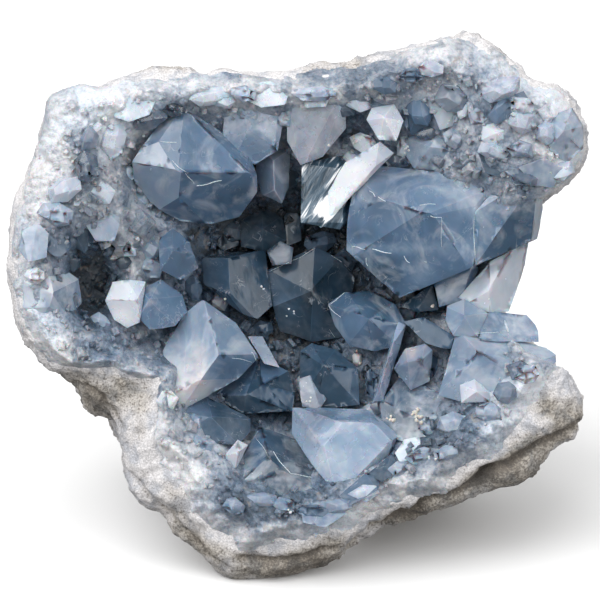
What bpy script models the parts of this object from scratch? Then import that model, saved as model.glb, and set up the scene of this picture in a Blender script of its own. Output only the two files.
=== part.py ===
"""Celestite geode: a lump of rock on a small flat spot, open in front on a hollow full of crystals.

Every shape is first drawn on the geode's open face, as (across, down, out). Across and down are
in pixels of a picture taken square to the face, and out is in millimetres towards the viewer.
stand() turns that into metres and leans the face back, so the stone rests on z = 0.
"""

import math
import random

import bmesh
import bpy
from mathutils import Vector, noise
from mathutils.geometry import intersect_line_line_2d

# Driving dimensions
WIDTH = 0.146  # widest part of the outline, left to right
ROCK_DEPTH = 0.076  # from the face to the middle of the back
EDGE_SETBACK = 0.008  # how far the widest outline lies behind the face
HOLLOW_DEPTH = 0.036  # deepest point of the rock's hollow, behind the face
CRUST_THICKNESS = 0.0042
CRUST_EDGE = 0.0012  # thickness of the crust where it thins out on the rim
CRUST_LUMPS = 0.0022  # height of the small crystals that roughen the crust
GAP = 0.0005  # between the rock and the crust, measured square to the face
LEAN = math.radians(20)  # how far the face leans back from upright
FOOT_LIFT = 0.0025  # height of the drawing's ground line; whatever falls below the ground is flattened
LUMP_HEIGHT = 0.0090  # lumps and ledges of the rock's back
LUMP_SIZE = 0.024
FOOT_FADE = 0.015  # height above the ground at which the lumps reach their full height

# The picture that the outline and the crystals are drawn on
OUTLINE_PIXELS = 585
PIXEL = WIDTH / OUTLINE_PIXELS
MIDDLE = (298.5, 300.0)  # the outline is star-shaped around this point
GROUND_LINE = 580.0
STAND_BACK = 0.0481  # from the outline's lowest point to the middle of the stone's depth

# The rock's outline: across, down, bare rock inside it in pixels, and its rim in millimetres
OUTLINE = [
    (46, 93, 14, 0), (76, 81, 14, 0), (100, 83, 14, 0), (122, 74, 16, -1), (141, 65, 20, -2),
    (172, 62, 22, -2), (188, 63, 20, -2), (200, 69, 16, -2), (225, 66, 14, -2), (262, 71, 14, -2),
    (291, 68, 16, -2), (311, 61, 20, -2), (345, 57, 24, -2), (367, 53, 22, -2), (401, 46, 18, -2),
    (422, 42, 16, -1), (436, 37, 18, 0), (451, 32, 22, 0), (464, 28, 26, 0), (476, 30, 26, 0),
    (485, 35, 24, 0), (497, 43, 20, 0), (512, 54, 18, 0), (524, 62, 18, 0), (530, 73, 18, 0),
    (545, 80, 20, 0), (560, 84, 20, 0), (572, 90, 18, -1), (580, 99, 16, -1), (583, 113, 14, -2),
    (590, 124, 14, -2), (591, 140, 14, -3), (589, 155, 14, -4), (583, 168, 14, -5),
    (566, 186, 14, -8), (546, 201, 12, -13), (534, 224, 10, -18), (527, 244, 10, -20),
    (519, 262, 10, -21), (507, 281, 10, -20), (500, 297, 10, -18), (505, 313, 10, -16),
    (524, 321, 10, -13), (533, 341, 12, -10), (549, 357, 14, -6), (562, 366, 16, -3),
    (572, 371, 22, 0), (579, 382, 34, 1), (585, 399, 52, 2), (586, 413, 66, 2), (583, 428, 72, 2),
    (575, 440, 68, 2), (564, 447, 62, 2), (545, 463, 56, 2), (537, 474, 54, 2), (520, 484, 48, 2),
    (491, 492, 42, 2), (474, 499, 38, 2), (455, 507, 34, 2), (434, 514, 32, 2), (407, 522, 30, 2),
    (380, 532, 30, 2), (354, 549, 34, 2), (340, 562, 42, 2), (319, 571, 46, 2), (300, 576, 44, 2),
    (268, 580, 44, 2), (228, 580, 46, 2), (201, 558, 42, 2), (184, 543, 42, 2), (170, 529, 44, 2),
    (159, 517, 48, 2), (142, 507, 50, 2), (130, 495, 50, 2), (123, 478, 48, 2), (118, 455, 52, 2),
    (113, 436, 58, 2), (110, 420, 62, 2), (103, 409, 66, 2), (88, 400, 62, 2), (75, 390, 54, 1),
    (63, 378, 40, 1), (42, 368, 22, 0), (31, 353, 14, 0), (21, 340, 12, 0), (14, 325, 12, 0),
    (9, 297, 12, 0), (6, 258, 12, 0), (10, 220, 12, 0), (20, 182, 14, 0), (28, 159, 14, 0),
    (35, 134, 14, 0), (40, 113, 14, 0),
]

# The rock's back, as a dome whose rings move from the outline to this rounder one
BACK_MIDDLE = (300.0, 362.0)
BACK_RADII = (262.0, 222.0)
BACK_RINGS = 8
BACK_FULLNESS = 0.76  # under 1 is boxier than an ellipse
BACK_LIMIT = 0.97  # the back stays within this share of the outline, seen from in front

# Hollows in the rock: middle across and down, half widths across and down, share of HOLLOW_DEPTH
HOLLOWS = [
    (300, 280, 236, 216, 1.00),
    (90, 278, 44, 62, 0.34),
    (352, 124, 46, 34, 0.14),
    (165, 150, 85, 75, 0.34),
    (325, 440, 130, 78, 0.30),
    (475, 375, 75, 60, 0.20),
    (430, 120, 80, 60, 0.22),
]
ROCK_RINGS = (0.86, 0.70, 0.52, 0.30)
CRUST_RINGS = (0.92, 0.80, 0.66, 0.49, 0.30)
SEED = 7  # of the rock's lumps and the crust's small crystals, so that every run is the same

# Large crystals, by their front corners: across, down, out. Each one tapers back to the crust.
CRYSTALS = {
    "upper_left_block": [
        (157, 140, -3), (162, 161, 1), (132, 161, -3), (137, 150, -5), (178, 172, 3),
        (180, 205, -6), (150, 203, -9), (133, 180, -8), (166, 114, -12), (184, 107, -13),
        (222, 128, -10), (247, 148, -8), (257, 175, -4), (257, 190, -6), (240, 215, -11),
        (215, 223, -12), (180, 222, -13), (250, 174, 0),
    ],
    "upper_left_cap": [
        (112, 105, -2), (122, 95, -1), (150, 91, -2), (156, 100, -2), (150, 115, 0),
        (130, 122, 1), (115, 118, 0),
    ],
    "left_hexagon": [
        (88, 229, 0), (96, 241, 0), (114, 241, 0), (120, 225, 0), (109, 213, 0), (95, 218, 0),
        (84, 222, -4), (118, 208, -4),
    ],
    "left_slate": [
        (48, 232, -6), (58, 226, -8), (70, 230, -9), (72, 248, -8), (60, 258, -6), (47, 252, -5),
    ],
    "left_slate_deep": [
        (72, 225, -9), (92, 222, -11), (95, 240, -11), (84, 253, -9), (72, 246, -9),
    ],
    "left_pale": [
        (22, 230, -5), (40, 224, -4), (50, 234, -4), (48, 258, -3), (30, 262, -3), (20, 250, -5),
    ],
    "left_bright": [
        (23, 284, -5), (46, 268, -6), (60, 266, -7), (77, 279, -7), (82, 303, -7), (67, 321, -4),
        (40, 320, -2), (24, 309, -3), (56, 292, 2), (50, 306, 2),
    ],
    "left_white": [
        (105, 300, -3), (112, 282, -4), (128, 279, -3), (145, 282, -2), (137, 300, 1),
        (140, 322, 0), (128, 328, -2), (113, 320, -3),
    ],
    "left_blue": [
        (140, 290, -5), (160, 279, -8), (182, 295, -8), (187, 312, -7), (175, 326, -3),
        (150, 330, -1), (138, 318, -1), (150, 300, 1),
    ],
    "grey_lump": [
        (158, 240, -6), (172, 228, -7), (188, 240, -7), (194, 254, -7), (197, 268, -8),
        (180, 280, -6), (160, 270, -4), (172, 252, -2),
    ],
    "top_grey_lump": [
        (225, 108, -6), (240, 103, -6), (275, 106, -6), (283, 120, -5), (278, 150, -5),
        (255, 164, -6), (232, 156, -6), (222, 135, -6), (250, 128, -2),
    ],
    "top_white": [
        (245, 85, -3), (270, 80, -4), (290, 92, -3), (285, 105, -1), (262, 108, -1), (248, 102, -2),
    ],
    "hanging_prism": [
        (257, 150, -13), (264, 143, -14), (290, 148, -14), (292, 165, -14), (289, 186, -13),
        (281, 202, -11), (262, 194, -11), (255, 174, -13), (272, 160, -8), (276, 190, -8),
    ],
    "beige_face": [
        (287, 102, -5), (318, 88, -5), (345, 90, -6), (346, 128, -7), (322, 157, -7),
        (301, 164, -6), (287, 142, -6), (300, 130, -3), (325, 105, -3),
    ],
    "top_flat_left": [
        (302, 92, -3), (325, 86, -3), (331, 96, -3), (326, 107, -2), (305, 108, -2),
    ],
    "top_flat_right": [
        (334, 91, -4), (350, 84, -4), (372, 98, -4), (372, 108, -3), (360, 112, -2), (340, 102, -2),
    ],
    "top_violet": [
        (369, 82, -7), (398, 76, -8), (403, 100, -7), (394, 106, -5), (372, 109, -5),
    ],
    "white_knob": [
        (367, 120, -1), (371, 108, -2), (394, 103, -2), (404, 121, -1), (396, 141, 0), (379, 140, 0),
        (384, 118, 2),
    ],
    "white_blade": [
        (366, 150, -5), (380, 141, -4), (394, 152, -5), (375, 166, -4), (352, 182, -5),
        (338, 212, -8), (320, 226, -9), (312, 217, -10), (328, 186, -8), (345, 162, -7),
    ],
    "mirror_crystal": [
        (301, 163, -9), (337, 154, -12), (354, 164, -13), (353, 216, -13), (340, 229, -9),
        (301, 222, -8), (344, 168, -9), (343, 222, -8),
    ],
    "teal_wedge": [
        (406, 97, -8), (424, 88, -9), (437, 110, -9), (436, 130, -8), (412, 134, -7), (403, 118, -8),
    ],
    "upper_right_pale": [
        (424, 88, -5), (452, 80, -5), (467, 98, -4), (462, 122, -4), (440, 130, -3), (432, 110, -2),
    ],
    "upper_right_blue": [
        (410, 136, -9), (440, 130, -7), (456, 148, -7), (446, 170, -8), (415, 168, -9),
        (403, 150, -10), (430, 148, -5),
    ],
    "right_white": [
        (482, 126, -2), (495, 120, -3), (512, 128, -3), (511, 146, -2), (495, 149, -1),
        (481, 140, -1), (495, 134, 2),
    ],
    "right_teal": [
        (478, 154, -6), (490, 147, -7), (506, 160, -7), (500, 178, -5), (484, 173, -4),
    ],
    "right_lobe_blue": [
        (545, 118, -4), (572, 108, -6), (584, 126, -7), (582, 150, -7), (567, 163, -6),
        (548, 150, -3), (562, 132, -1),
    ],
    "right_lobe_low": [
        (518, 168, -6), (544, 158, -6), (562, 168, -8), (553, 188, -9), (534, 186, -7),
    ],
    "main_block": [
        (348, 214, -8), (347, 250, -9), (354, 176, -9), (366, 163, -11), (410, 167, -10),
        (452, 173, -8), (490, 186, -8), (475, 206, 0), (473, 267, -2), (434, 284, -5),
        (400, 298, -10), (372, 278, -12), (388, 200, -2), (430, 216, 2),
    ],
    "main_block_end": [
        (475, 212, 0), (498, 206, -1), (532, 220, -6), (532, 241, -7), (513, 252, -8),
        (475, 266, -3), (497, 188, -7), (539, 174, -13), (543, 200, -10), (545, 206, -11),
        (540, 238, -12),
    ],
    "notch_wall": [
        (513, 250, -10), (531, 242, -14), (528, 262, -15), (511, 285, -15), (507, 298, -14),
        (512, 312, -12), (490, 312, -8), (468, 303, -8), (459, 298, -10), (472, 278, -10),
        (490, 262, -9), (492, 290, -6),
    ],
    "under_block_dark": [
        (400, 306, -15), (434, 284, -14), (440, 310, -14), (418, 312, -13),
    ],
    "under_block_grey": [
        (436, 284, -12), (474, 264, -11), (482, 268, -12), (462, 302, -11), (440, 307, -12),
    ],
    "right_pale_blue": [
        (448, 306, -6), (465, 299, -7), (489, 313, -7), (478, 337, -3), (454, 336, -3),
        (446, 320, -5), (464, 316, -1),
    ],
    "right_striped": [
        (482, 320, -6), (492, 311, -8), (528, 315, -11), (537, 325, -10), (540, 340, -8),
        (505, 344, -3), (480, 339, -3),
    ],
    "right_veiled": [
        (457, 334, -4), (438, 395, -1), (470, 404, 1), (500, 400, 2), (530, 386, 0),
        (557, 362, -5), (545, 348, -8), (510, 336, -6), (478, 333, -5), (478, 352, 2),
    ],
    "right_lavender": [
        (460, 385, 2), (474, 379, 2), (491, 392, 2), (490, 402, 3), (461, 402, 3), (476, 391, 5),
    ],
    "rib": [
        (399, 322, -9), (407, 325, -9), (395, 362, -7), (384, 402, -8), (373, 402, -9),
        (385, 352, -9), (392, 345, -5), (381, 388, -5),
    ],
    "cream_tipped": [
        (394, 369, -6), (406, 349, -6), (425, 344, -6), (433, 350, -6), (431, 382, -7),
        (411, 390, -6), (408, 362, -2), (422, 360, -2),
    ],
    "right_dark_prism": [
        (405, 322, -8), (423, 317, -8), (455, 336, -6), (451, 351, -5), (426, 343, -5),
    ],
    "mid_blue_face": [
        (380, 404, -8), (402, 376, -11), (440, 392, -9), (474, 408, -4), (462, 440, -1),
        (432, 448, -1), (398, 440, -4), (382, 420, -7),
    ],
    "small_white": [
        (395, 453, -1), (404, 440, -2), (416, 437, -2), (433, 447, -2), (411, 455, 0), (401, 465, 0),
    ],
    "periwinkle_block": [
        (203, 300, -8), (184, 312, -8), (176, 322, -8), (161, 354, -7), (171, 394, -1),
        (180, 411, -3), (206, 397, -5), (239, 379, -6), (258, 357, -7), (236, 323, -8),
        (219, 352, 2), (201, 380, 2),
    ],
    "slate_left": [
        (228, 255, -17), (228, 294, -16), (199, 259, -21), (203, 285, -20), (225, 250, -23),
        (265, 251, -23), (270, 270, -22), (272, 306, -22), (257, 319, -19), (243, 315, -18),
    ],
    "slate_right": [
        (267, 269, -23), (315, 246, -21), (338, 257, -23), (356, 276, -26), (346, 302, -26),
        (347, 338, -25), (312, 342, -24), (280, 332, -25), (271, 306, -23), (312, 292, -18),
    ],
    "overhang_left": [
        (208, 238, -25), (222, 214, -26), (236, 212, -26), (238, 244, -24), (222, 250, -23),
    ],
    "overhang_middle": [
        (238, 216, -25), (262, 204, -26), (282, 214, -26), (286, 240, -24), (262, 251, -23),
        (240, 246, -23), (262, 228, -20),
    ],
    "overhang_right": [
        (283, 212, -27), (300, 208, -27), (302, 240, -26), (286, 246, -25),
    ],
    "small_light": [
        (266, 250, -19), (280, 240, -20), (293, 247, -20), (291, 263, -18), (272, 265, -18),
    ],
    "round_grey": [
        (329, 304, -19), (345, 292, -20), (370, 291, -20), (396, 304, -17), (408, 325, -15),
        (400, 346, -14), (375, 352, -14), (350, 346, -16), (335, 326, -18), (368, 318, -11),
    ],
    "slate_low": [
        (300, 352, -20), (312, 344, -20), (336, 350, -18), (359, 370, -15), (360, 406, -14),
        (318, 411, -14), (300, 399, -17), (324, 366, -12),
    ],
    "dark_gable": [
        (212, 397, -12), (259, 359, -15), (288, 372, -16), (295, 392, -15), (293, 412, -14),
        (243, 415, -10), (262, 386, -9), (246, 396, -7),
    ],
    "glint": [
        (248, 337, -12), (262, 337, -13), (270, 350, -12), (279, 368, -11), (264, 364, -9),
    ],
    "dark_blue_low": [
        (178, 412, -5), (206, 397, -8), (250, 419, -8), (250, 431, -6), (238, 445, -3),
        (205, 444, -1), (184, 430, -2), (212, 418, -1),
    ],
    "white_shard": [
        (238, 440, -1), (248, 445, -1), (235, 471, 0), (223, 456, 0), (238, 452, 3),
    ],
    "gable_block": [
        (258, 428, -10), (269, 456, 0), (289, 471, 2), (246, 473, -1), (239, 484, -4),
        (263, 496, -2), (290, 491, -1), (322, 499, -7), (323, 479, -9), (310, 465, -10),
        (299, 441, -12), (238, 468, -5),
    ],
    "bright_block": [
        (345, 421, 1), (375, 425, 0), (401, 434, -6), (393, 441, -1), (388, 457, -3),
        (362, 472, -1), (338, 494, -2), (311, 466, -2), (322, 445, 1), (293, 409, -10),
        (291, 431, -10), (303, 450, -6), (366, 409, -9),
    ],
    "pink_shard": [
        (298, 380, -15), (310, 376, -15), (327, 400, -13), (320, 410, -11), (302, 408, -12),
    ],
    "low_dark_facet": [
        (340, 494, -4), (364, 474, -6), (380, 476, -6), (378, 488, -3), (348, 506, -1),
    ],
    "low_teal_facet": [
        (366, 474, -6), (391, 455, -7), (402, 470, -5), (382, 481, -2),
    ],
    "low_grey_facet": [
        (300, 504, -2), (330, 499, -3), (346, 512, -1), (325, 526, 1), (303, 521, 1),
    ],
}
ROOT_TAPER = 0.82  # a crystal's root, as a share of its outline
ROOT_REACH = 0.94  # roots stay within this share of the crust's border
STANDS_PROUD = 0.0030  # the least that a crystal's foremost corner stands out of the crust
PLANE_TOLERANCE = math.radians(9)  # corners this near one plane make one flat face
SAME_PLANE = math.radians(2.5)


def clear_scene():
    for old in list(bpy.data.objects):
        bpy.data.objects.remove(old)


def stand(across, down, out):
    """A point of the face drawing, with out in metres, as a point of the standing stone."""
    right = (across - MIDDLE[0]) * PIXEL
    up = (GROUND_LINE - down) * PIXEL
    back = up * math.sin(LEAN) - out * math.cos(LEAN) - STAND_BACK
    height = up * math.cos(LEAN) + out * math.sin(LEAN) + FOOT_LIFT
    return Vector((right, back, max(height, 0.0)))


def edge_at(angle):
    """Outline radius, bare band and rim height in this direction from the middle."""
    middle = Vector(MIDDLE)
    far = middle + Vector((math.cos(angle), math.sin(angle))) * 1000
    for first, second in zip(OUTLINE, OUTLINE[1:] + OUTLINE[:1]):
        start = Vector(first[:2])
        end = Vector(second[:2])
        hit = intersect_line_line_2d(middle, far, start, end)
        if hit:
            share = (hit - start).length / (end - start).length
            band = first[2] + share * (second[2] - first[2])
            rim = first[3] + share * (second[3] - first[3])
            return (hit - middle).length, band, rim / 1000
    raise ValueError("the outline has no edge in this direction")


def hollow_at(across, down):
    """Depth of the hollows at a point of the face."""
    depth = 0.0
    for middle_x, middle_y, half_x, half_y, share in HOLLOWS:
        near = 1 - ((across - middle_x) / half_x) ** 2 - ((down - middle_y) / half_y) ** 2
        depth += share * max(near, 0.0) ** 1.3
    return depth * HOLLOW_DEPTH


def outline_level(rim):
    """How far out the rock's widest outline lies, where its rim is this high."""
    return min(rim, 0.0) - EDGE_SETBACK


def rock_face_at(across, down):
    """How far out the rock's front surface lies at a point of the face."""
    offset = Vector((across - MIDDLE[0], down - MIDDLE[1]))
    radius, band, rim = edge_at(math.atan2(offset.y, offset.x))
    crust_radius = radius - band
    if offset.length <= crust_radius:
        share = offset.length / crust_radius
        return rim * share**2 - hollow_at(across, down) * (1 - share**6)
    share = min((offset.length - crust_radius) / band, 1.0)
    return rim - (rim - outline_level(rim)) * (1 - math.sqrt(1 - share**2))


def crust_middle_at(across, down):
    """How far out the middle of the crust's thickness lies."""
    return rock_face_at(across, down) + GAP + CRUST_THICKNESS / 2


def from_middle(point, share):
    """The point that lies at this share of the way from the middle to an outline point."""
    across = MIDDLE[0] + (point[0] - MIDDLE[0]) * share
    down = MIDDLE[1] + (point[1] - MIDDLE[1]) * share
    return across, down


def crust_border():
    """The crust's edge: each outline point moved in by its bare band of rock."""
    border = []
    for across, down, band, _ in OUTLINE:
        radius = math.dist((across, down), MIDDLE)
        border.append(from_middle((across, down), 1 - band / radius))
    return border


def face_ring(share, lift=0.0):
    """A ring of points on the rock's face, at this share of the crust's border."""
    ring = []
    for point in crust_border():
        across, down = from_middle(point, share)
        ring.append(stand(across, down, rock_face_at(across, down) + lift))
    return ring


def middle_point(lift):
    return stand(*MIDDLE, rock_face_at(*MIDDLE) + lift)


def lumpy(point, height):
    """The point pushed about by smooth noise, as lumps and ledges that leave the foot flat."""
    place = point / LUMP_SIZE
    push = noise.noise_vector(place) + 0.5 * noise.noise_vector(place * 2.3)
    moved = point + height * min(point.z / FOOT_FADE, 1) * push
    moved.z = max(moved.z, 0.0)
    return moved


def band_rings():
    """The rock's face from its outline to the crust's border, outermost ring first."""
    rings = []
    for share in (1.0, 0.6, 0.25):
        ring = []
        for across, down, band, _ in OUTLINE:
            radius = math.dist((across, down), MIDDLE)
            place = from_middle((across, down), 1 - band / radius * (1 - share))
            ring.append(stand(*place, rock_face_at(*place)))
        rings.append(ring)
    return rings


def back_rings():
    """The rock's domed back, from just behind the outline to the last ring before its middle."""
    rings = []
    for step in range(1, BACK_RINGS):
        turn = math.radians(90) * step / BACK_RINGS
        spread = math.cos(turn) ** BACK_FULLNESS
        depth = math.sin(turn) ** BACK_FULLNESS
        ring = []
        for across, down, _, rim in OUTLINE:
            start = outline_level(rim / 1000)
            out = start - (ROCK_DEPTH + start) * depth
            angle = math.atan2(down - MIDDLE[1], across - MIDDLE[0])
            own = Vector(from_middle((across, down), spread))
            rounder = Vector(BACK_MIDDLE) + spread * Vector(
                (BACK_RADII[0] * math.cos(angle), BACK_RADII[1] * math.sin(angle))
            )
            place = own.lerp(rounder, depth) - Vector(MIDDLE)
            limit = BACK_LIMIT * edge_at(math.atan2(place.y, place.x))[0]
            place *= min(limit / place.length, 1)
            place += Vector(MIDDLE)
            ring.append(lumpy(stand(*place, out), LUMP_HEIGHT * depth))
        rings.append(ring)
    return rings


def skin(mesh_builder, rings, close_first=None, close_last=None):
    """Faces between neighbouring rings, with a fan to a single point at either end."""
    rows = [[mesh_builder.verts.new(point) for point in ring] for ring in rings]
    count = len(rows[0])
    for outer, inner in zip(rows, rows[1:]):
        for i in range(count):
            j = (i + 1) % count
            mesh_builder.faces.new((outer[i], outer[j], inner[j], inner[i]))
    for row, tip in ((rows[0], close_first), (rows[-1], close_last)):
        if tip:
            top = mesh_builder.verts.new(tip)
            for i in range(count):
                mesh_builder.faces.new((row[i], row[(i + 1) % count], top))
    bmesh.ops.recalc_face_normals(mesh_builder, faces=mesh_builder.faces)
    bmesh.ops.triangulate(mesh_builder, faces=mesh_builder.faces)


def finish_object(name, mesh_builder, material):
    mesh = bpy.data.meshes.new(name)
    mesh_builder.to_mesh(mesh)
    mesh_builder.free()
    mesh.materials.append(material)
    piece = bpy.data.objects.new(name, mesh)
    bpy.context.collection.objects.link(piece)
    return piece


def plain_material(name, colour, roughness, transmission=0.0):
    material = bpy.data.materials.new(name)
    material.use_nodes = True
    shader = material.node_tree.nodes["Principled BSDF"]
    shader.inputs["Base Color"].default_value = (*colour, 1)
    shader.inputs["Roughness"].default_value = roughness
    shader.inputs["Transmission Weight"].default_value = transmission
    shader.inputs["Metallic"].default_value = 0.0
    shader.inputs["IOR"].default_value = 1.62
    return material


def make_rock():
    builder = bmesh.new()
    rings = list(reversed(back_rings())) + band_rings() + [face_ring(1.0)]
    rings += [face_ring(share) for share in ROCK_RINGS]
    back_tip = lumpy(stand(*BACK_MIDDLE, -ROCK_DEPTH), LUMP_HEIGHT)
    skin(builder, rings, back_tip, middle_point(0.0))
    return finish_object("rock_shell", builder, plain_material("rock", (0.46, 0.41, 0.35), 0.95))


def crust_top(dice):
    """The crust's front: rings of small crystals, each point moved a little at random."""
    rings = []
    for share in CRUST_RINGS:
        ring = []
        for point in crust_border():
            across, down = from_middle(point, share + dice.uniform(-0.03, 0.03))
            lift = CRUST_THICKNESS + dice.uniform(0, CRUST_LUMPS)
            ring.append(stand(across, down, rock_face_at(across, down) + lift))
        rings.append(ring)
    return rings


def crust_bed():
    """The layer of small crystals that covers the rock's hollow, as one closed shape."""
    builder = bmesh.new()
    under = [face_ring(share, GAP) for share in reversed(ROCK_RINGS)]
    edge = [face_ring(1.0, GAP), face_ring(1.0, GAP + CRUST_EDGE)]
    over = crust_top(random.Random(SEED))
    skin(
        builder,
        under + edge + over,
        middle_point(GAP),
        middle_point(CRUST_THICKNESS),
    )
    return builder


def within_crust(place):
    """The place, or where it lies off the crust, the nearest place on it towards the middle."""
    offset = place - Vector(MIDDLE)
    radius, band, _ = edge_at(math.atan2(offset.y, offset.x))
    reach = ROOT_REACH * (radius - band)
    return Vector(MIDDLE) + offset * min(reach / max(offset.length, 1), 1)


def root_points(corners):
    """Where a crystal stands: its outline, tapered and dropped to the middle of the crust."""
    centre = Vector((0, 0))
    for across, down, _ in corners:
        centre += Vector((across, down)) / len(corners)
    points = []
    for across, down, _ in corners:
        place = within_crust(centre + (Vector((across, down)) - centre) * ROOT_TAPER)
        points.append(stand(*place, crust_middle_at(*place)))
    return points


def front_points(corners):
    """A crystal's front corners, moved out until it stands proud, and none under the crust."""
    levels = [crust_middle_at(across, down) for across, down, _ in corners]
    proud = max(out / 1000 - level for (_, _, out), level in zip(corners, levels))
    lift = max(STANDS_PROUD + CRUST_THICKNESS / 2 - proud, 0.0)
    points = []
    for (across, down, out), level in zip(corners, levels):
        points.append(stand(across, down, max(out / 1000 + lift, level)))
    return points


def hull_planes(points):
    """The flat faces of the hull of these points, near-coplanar triangles taken as one face."""
    builder = bmesh.new()
    for point in points:
        builder.verts.new(point)
    hull = bmesh.ops.convex_hull(builder, input=builder.verts)
    loose = [v for v in hull["geom_interior"] + hull["geom_unused"] if isinstance(v, bmesh.types.BMVert)]
    bmesh.ops.delete(builder, geom=list(set(loose)), context="VERTS")
    bmesh.ops.recalc_face_normals(builder, faces=builder.faces)
    bmesh.ops.dissolve_limit(
        builder,
        angle_limit=PLANE_TOLERANCE,
        verts=builder.verts,
        edges=builder.edges,
    )
    builder.normal_update()
    planes = [(face.calc_center_median(), face.normal.copy()) for face in builder.faces]
    builder.free()
    return planes


def cut_block(points):
    """The points' hull with exactly flat faces, cut from a box that just holds the points."""
    low = Vector([min(point[axis] for point in points) for axis in range(3)])
    high = Vector([max(point[axis] for point in points) for axis in range(3)])
    builder = bmesh.new()
    bmesh.ops.create_cube(builder, size=1)
    bmesh.ops.scale(builder, verts=builder.verts, vec=high - low)
    bmesh.ops.translate(builder, verts=builder.verts, vec=(low + high) / 2)
    for place, normal in hull_planes(points):
        parts = builder.verts[:] + builder.edges[:] + builder.faces[:]
        cut = bmesh.ops.bisect_plane(
            builder,
            geom=parts,
            dist=1e-6,
            plane_co=place,
            plane_no=normal,
            clear_outer=True,
        )
        rim = [part for part in cut["geom_cut"] if isinstance(part, bmesh.types.BMEdge)]
        if len(rim) > 2:
            bmesh.ops.contextual_create(builder, geom=rim)
    bmesh.ops.recalc_face_normals(builder, faces=builder.faces)
    return builder


def make_crystal(name, corners, material):
    builder = cut_block(front_points(corners) + root_points(corners))
    return finish_object(name, builder, material)


def combine(base, other, operation):
    """The base with another closed body joined to it or cut from it. The other is used up."""
    boolean = base.modifiers.new(other.name, "BOOLEAN")
    boolean.operation = operation
    boolean.object = other
    bpy.context.view_layer.update()
    evaluated = base.evaluated_get(bpy.context.evaluated_depsgraph_get())
    result = bpy.data.meshes.new_from_object(evaluated)
    base.modifiers.remove(boolean)
    base.data = result
    bpy.data.objects.remove(other)


def rock_allowance(rock):
    """The rock grown by half the gap, which nothing of the crust may enter."""
    builder = bmesh.new()
    builder.from_mesh(rock.data)
    builder.normal_update()
    for vertex in builder.verts:
        vertex.co += vertex.normal * GAP / 2
    return finish_object("allowance", builder, rock.data.materials[0])


def outer_shell(builder):
    """Only the largest connected surface, without sealed hollows or loose chips."""
    left = set(builder.verts)
    shells = []
    while left:
        shell = {left.pop()}
        edge = list(shell)
        while edge:
            vertex = edge.pop()
            near = {link.other_vert(vertex) for link in vertex.link_edges} & left
            left -= near
            shell |= near
            edge += near
        shells.append(shell)
    shells.sort(key=len)
    inner = [vertex for shell in shells[:-1] for vertex in shell]
    bmesh.ops.delete(builder, geom=inner, context="VERTS")


def merge_flat_faces(piece):
    """The pieces that cutting left of each flat face made one face again."""
    builder = bmesh.new()
    builder.from_mesh(piece.data)
    outer_shell(builder)
    bmesh.ops.dissolve_limit(
        builder,
        angle_limit=SAME_PLANE,
        verts=builder.verts,
        edges=builder.edges,
    )
    bmesh.ops.triangulate(builder, faces=builder.faces)
    builder.to_mesh(piece.data)
    builder.free()


def make_crust(rock):
    material = plain_material("celestite", (0.55, 0.68, 0.80), 0.15, 0.6)
    crust = finish_object("crystal_crust", crust_bed(), material)
    for name, corners in CRYSTALS.items():
        combine(crust, make_crystal(name, corners, material), "UNION")
    combine(crust, rock_allowance(rock), "DIFFERENCE")
    merge_flat_faces(crust)


clear_scene()
noise.seed_set(SEED)
make_crust(make_rock())
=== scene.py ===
"""Celestite geode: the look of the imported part, seen from in front and a little above.

Places on the open face are (across, down, out): pixels of a 600 by 596 picture taken square to
the face, and a distance towards the viewer. stand() turns them into metres, as in the part.
"""

import math
import random

import bmesh
import bpy
import numpy as np
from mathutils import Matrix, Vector, noise
from mathutils.bvhtree import BVHTree


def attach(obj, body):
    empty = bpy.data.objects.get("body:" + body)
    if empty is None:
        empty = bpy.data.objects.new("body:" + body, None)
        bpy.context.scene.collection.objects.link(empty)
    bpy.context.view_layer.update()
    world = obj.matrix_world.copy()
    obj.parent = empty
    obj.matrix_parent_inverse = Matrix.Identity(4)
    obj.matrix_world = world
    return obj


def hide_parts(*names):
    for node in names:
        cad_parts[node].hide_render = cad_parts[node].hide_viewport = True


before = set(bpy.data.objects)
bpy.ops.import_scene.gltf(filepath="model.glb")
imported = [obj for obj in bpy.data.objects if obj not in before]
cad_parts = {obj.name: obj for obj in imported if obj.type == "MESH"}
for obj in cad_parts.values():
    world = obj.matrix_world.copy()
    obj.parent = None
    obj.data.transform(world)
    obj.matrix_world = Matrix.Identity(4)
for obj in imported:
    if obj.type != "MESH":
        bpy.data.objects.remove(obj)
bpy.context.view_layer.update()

# The part's own dimensions
WIDTH = 0.146
ROCK_DEPTH = 0.076
EDGE_SETBACK = 0.008
HOLLOW_DEPTH = 0.036
CRUST_THICKNESS = 0.0042
GAP = 0.0005
LEAN = math.radians(20)
FOOT_LIFT = 0.0025
LUMP_HEIGHT = 0.0090
LUMP_SIZE = 0.024
FOOT_FADE = 0.015
SQUARE = Vector((0, -math.cos(LEAN), math.sin(LEAN)))  # square to the open face, outwards

# The picture that the outline and the crystals are drawn on
PICTURE_WIDTH = 600
PICTURE_HEIGHT = 596
OUTLINE_PIXELS = 585
PIXEL = WIDTH / OUTLINE_PIXELS
MIDDLE = (298.5, 300.0)  # the outline is star-shaped around this point
GROUND_LINE = 580.0
STAND_BACK = 0.0481  # from the outline's lowest point to the middle of the stone's depth

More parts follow.
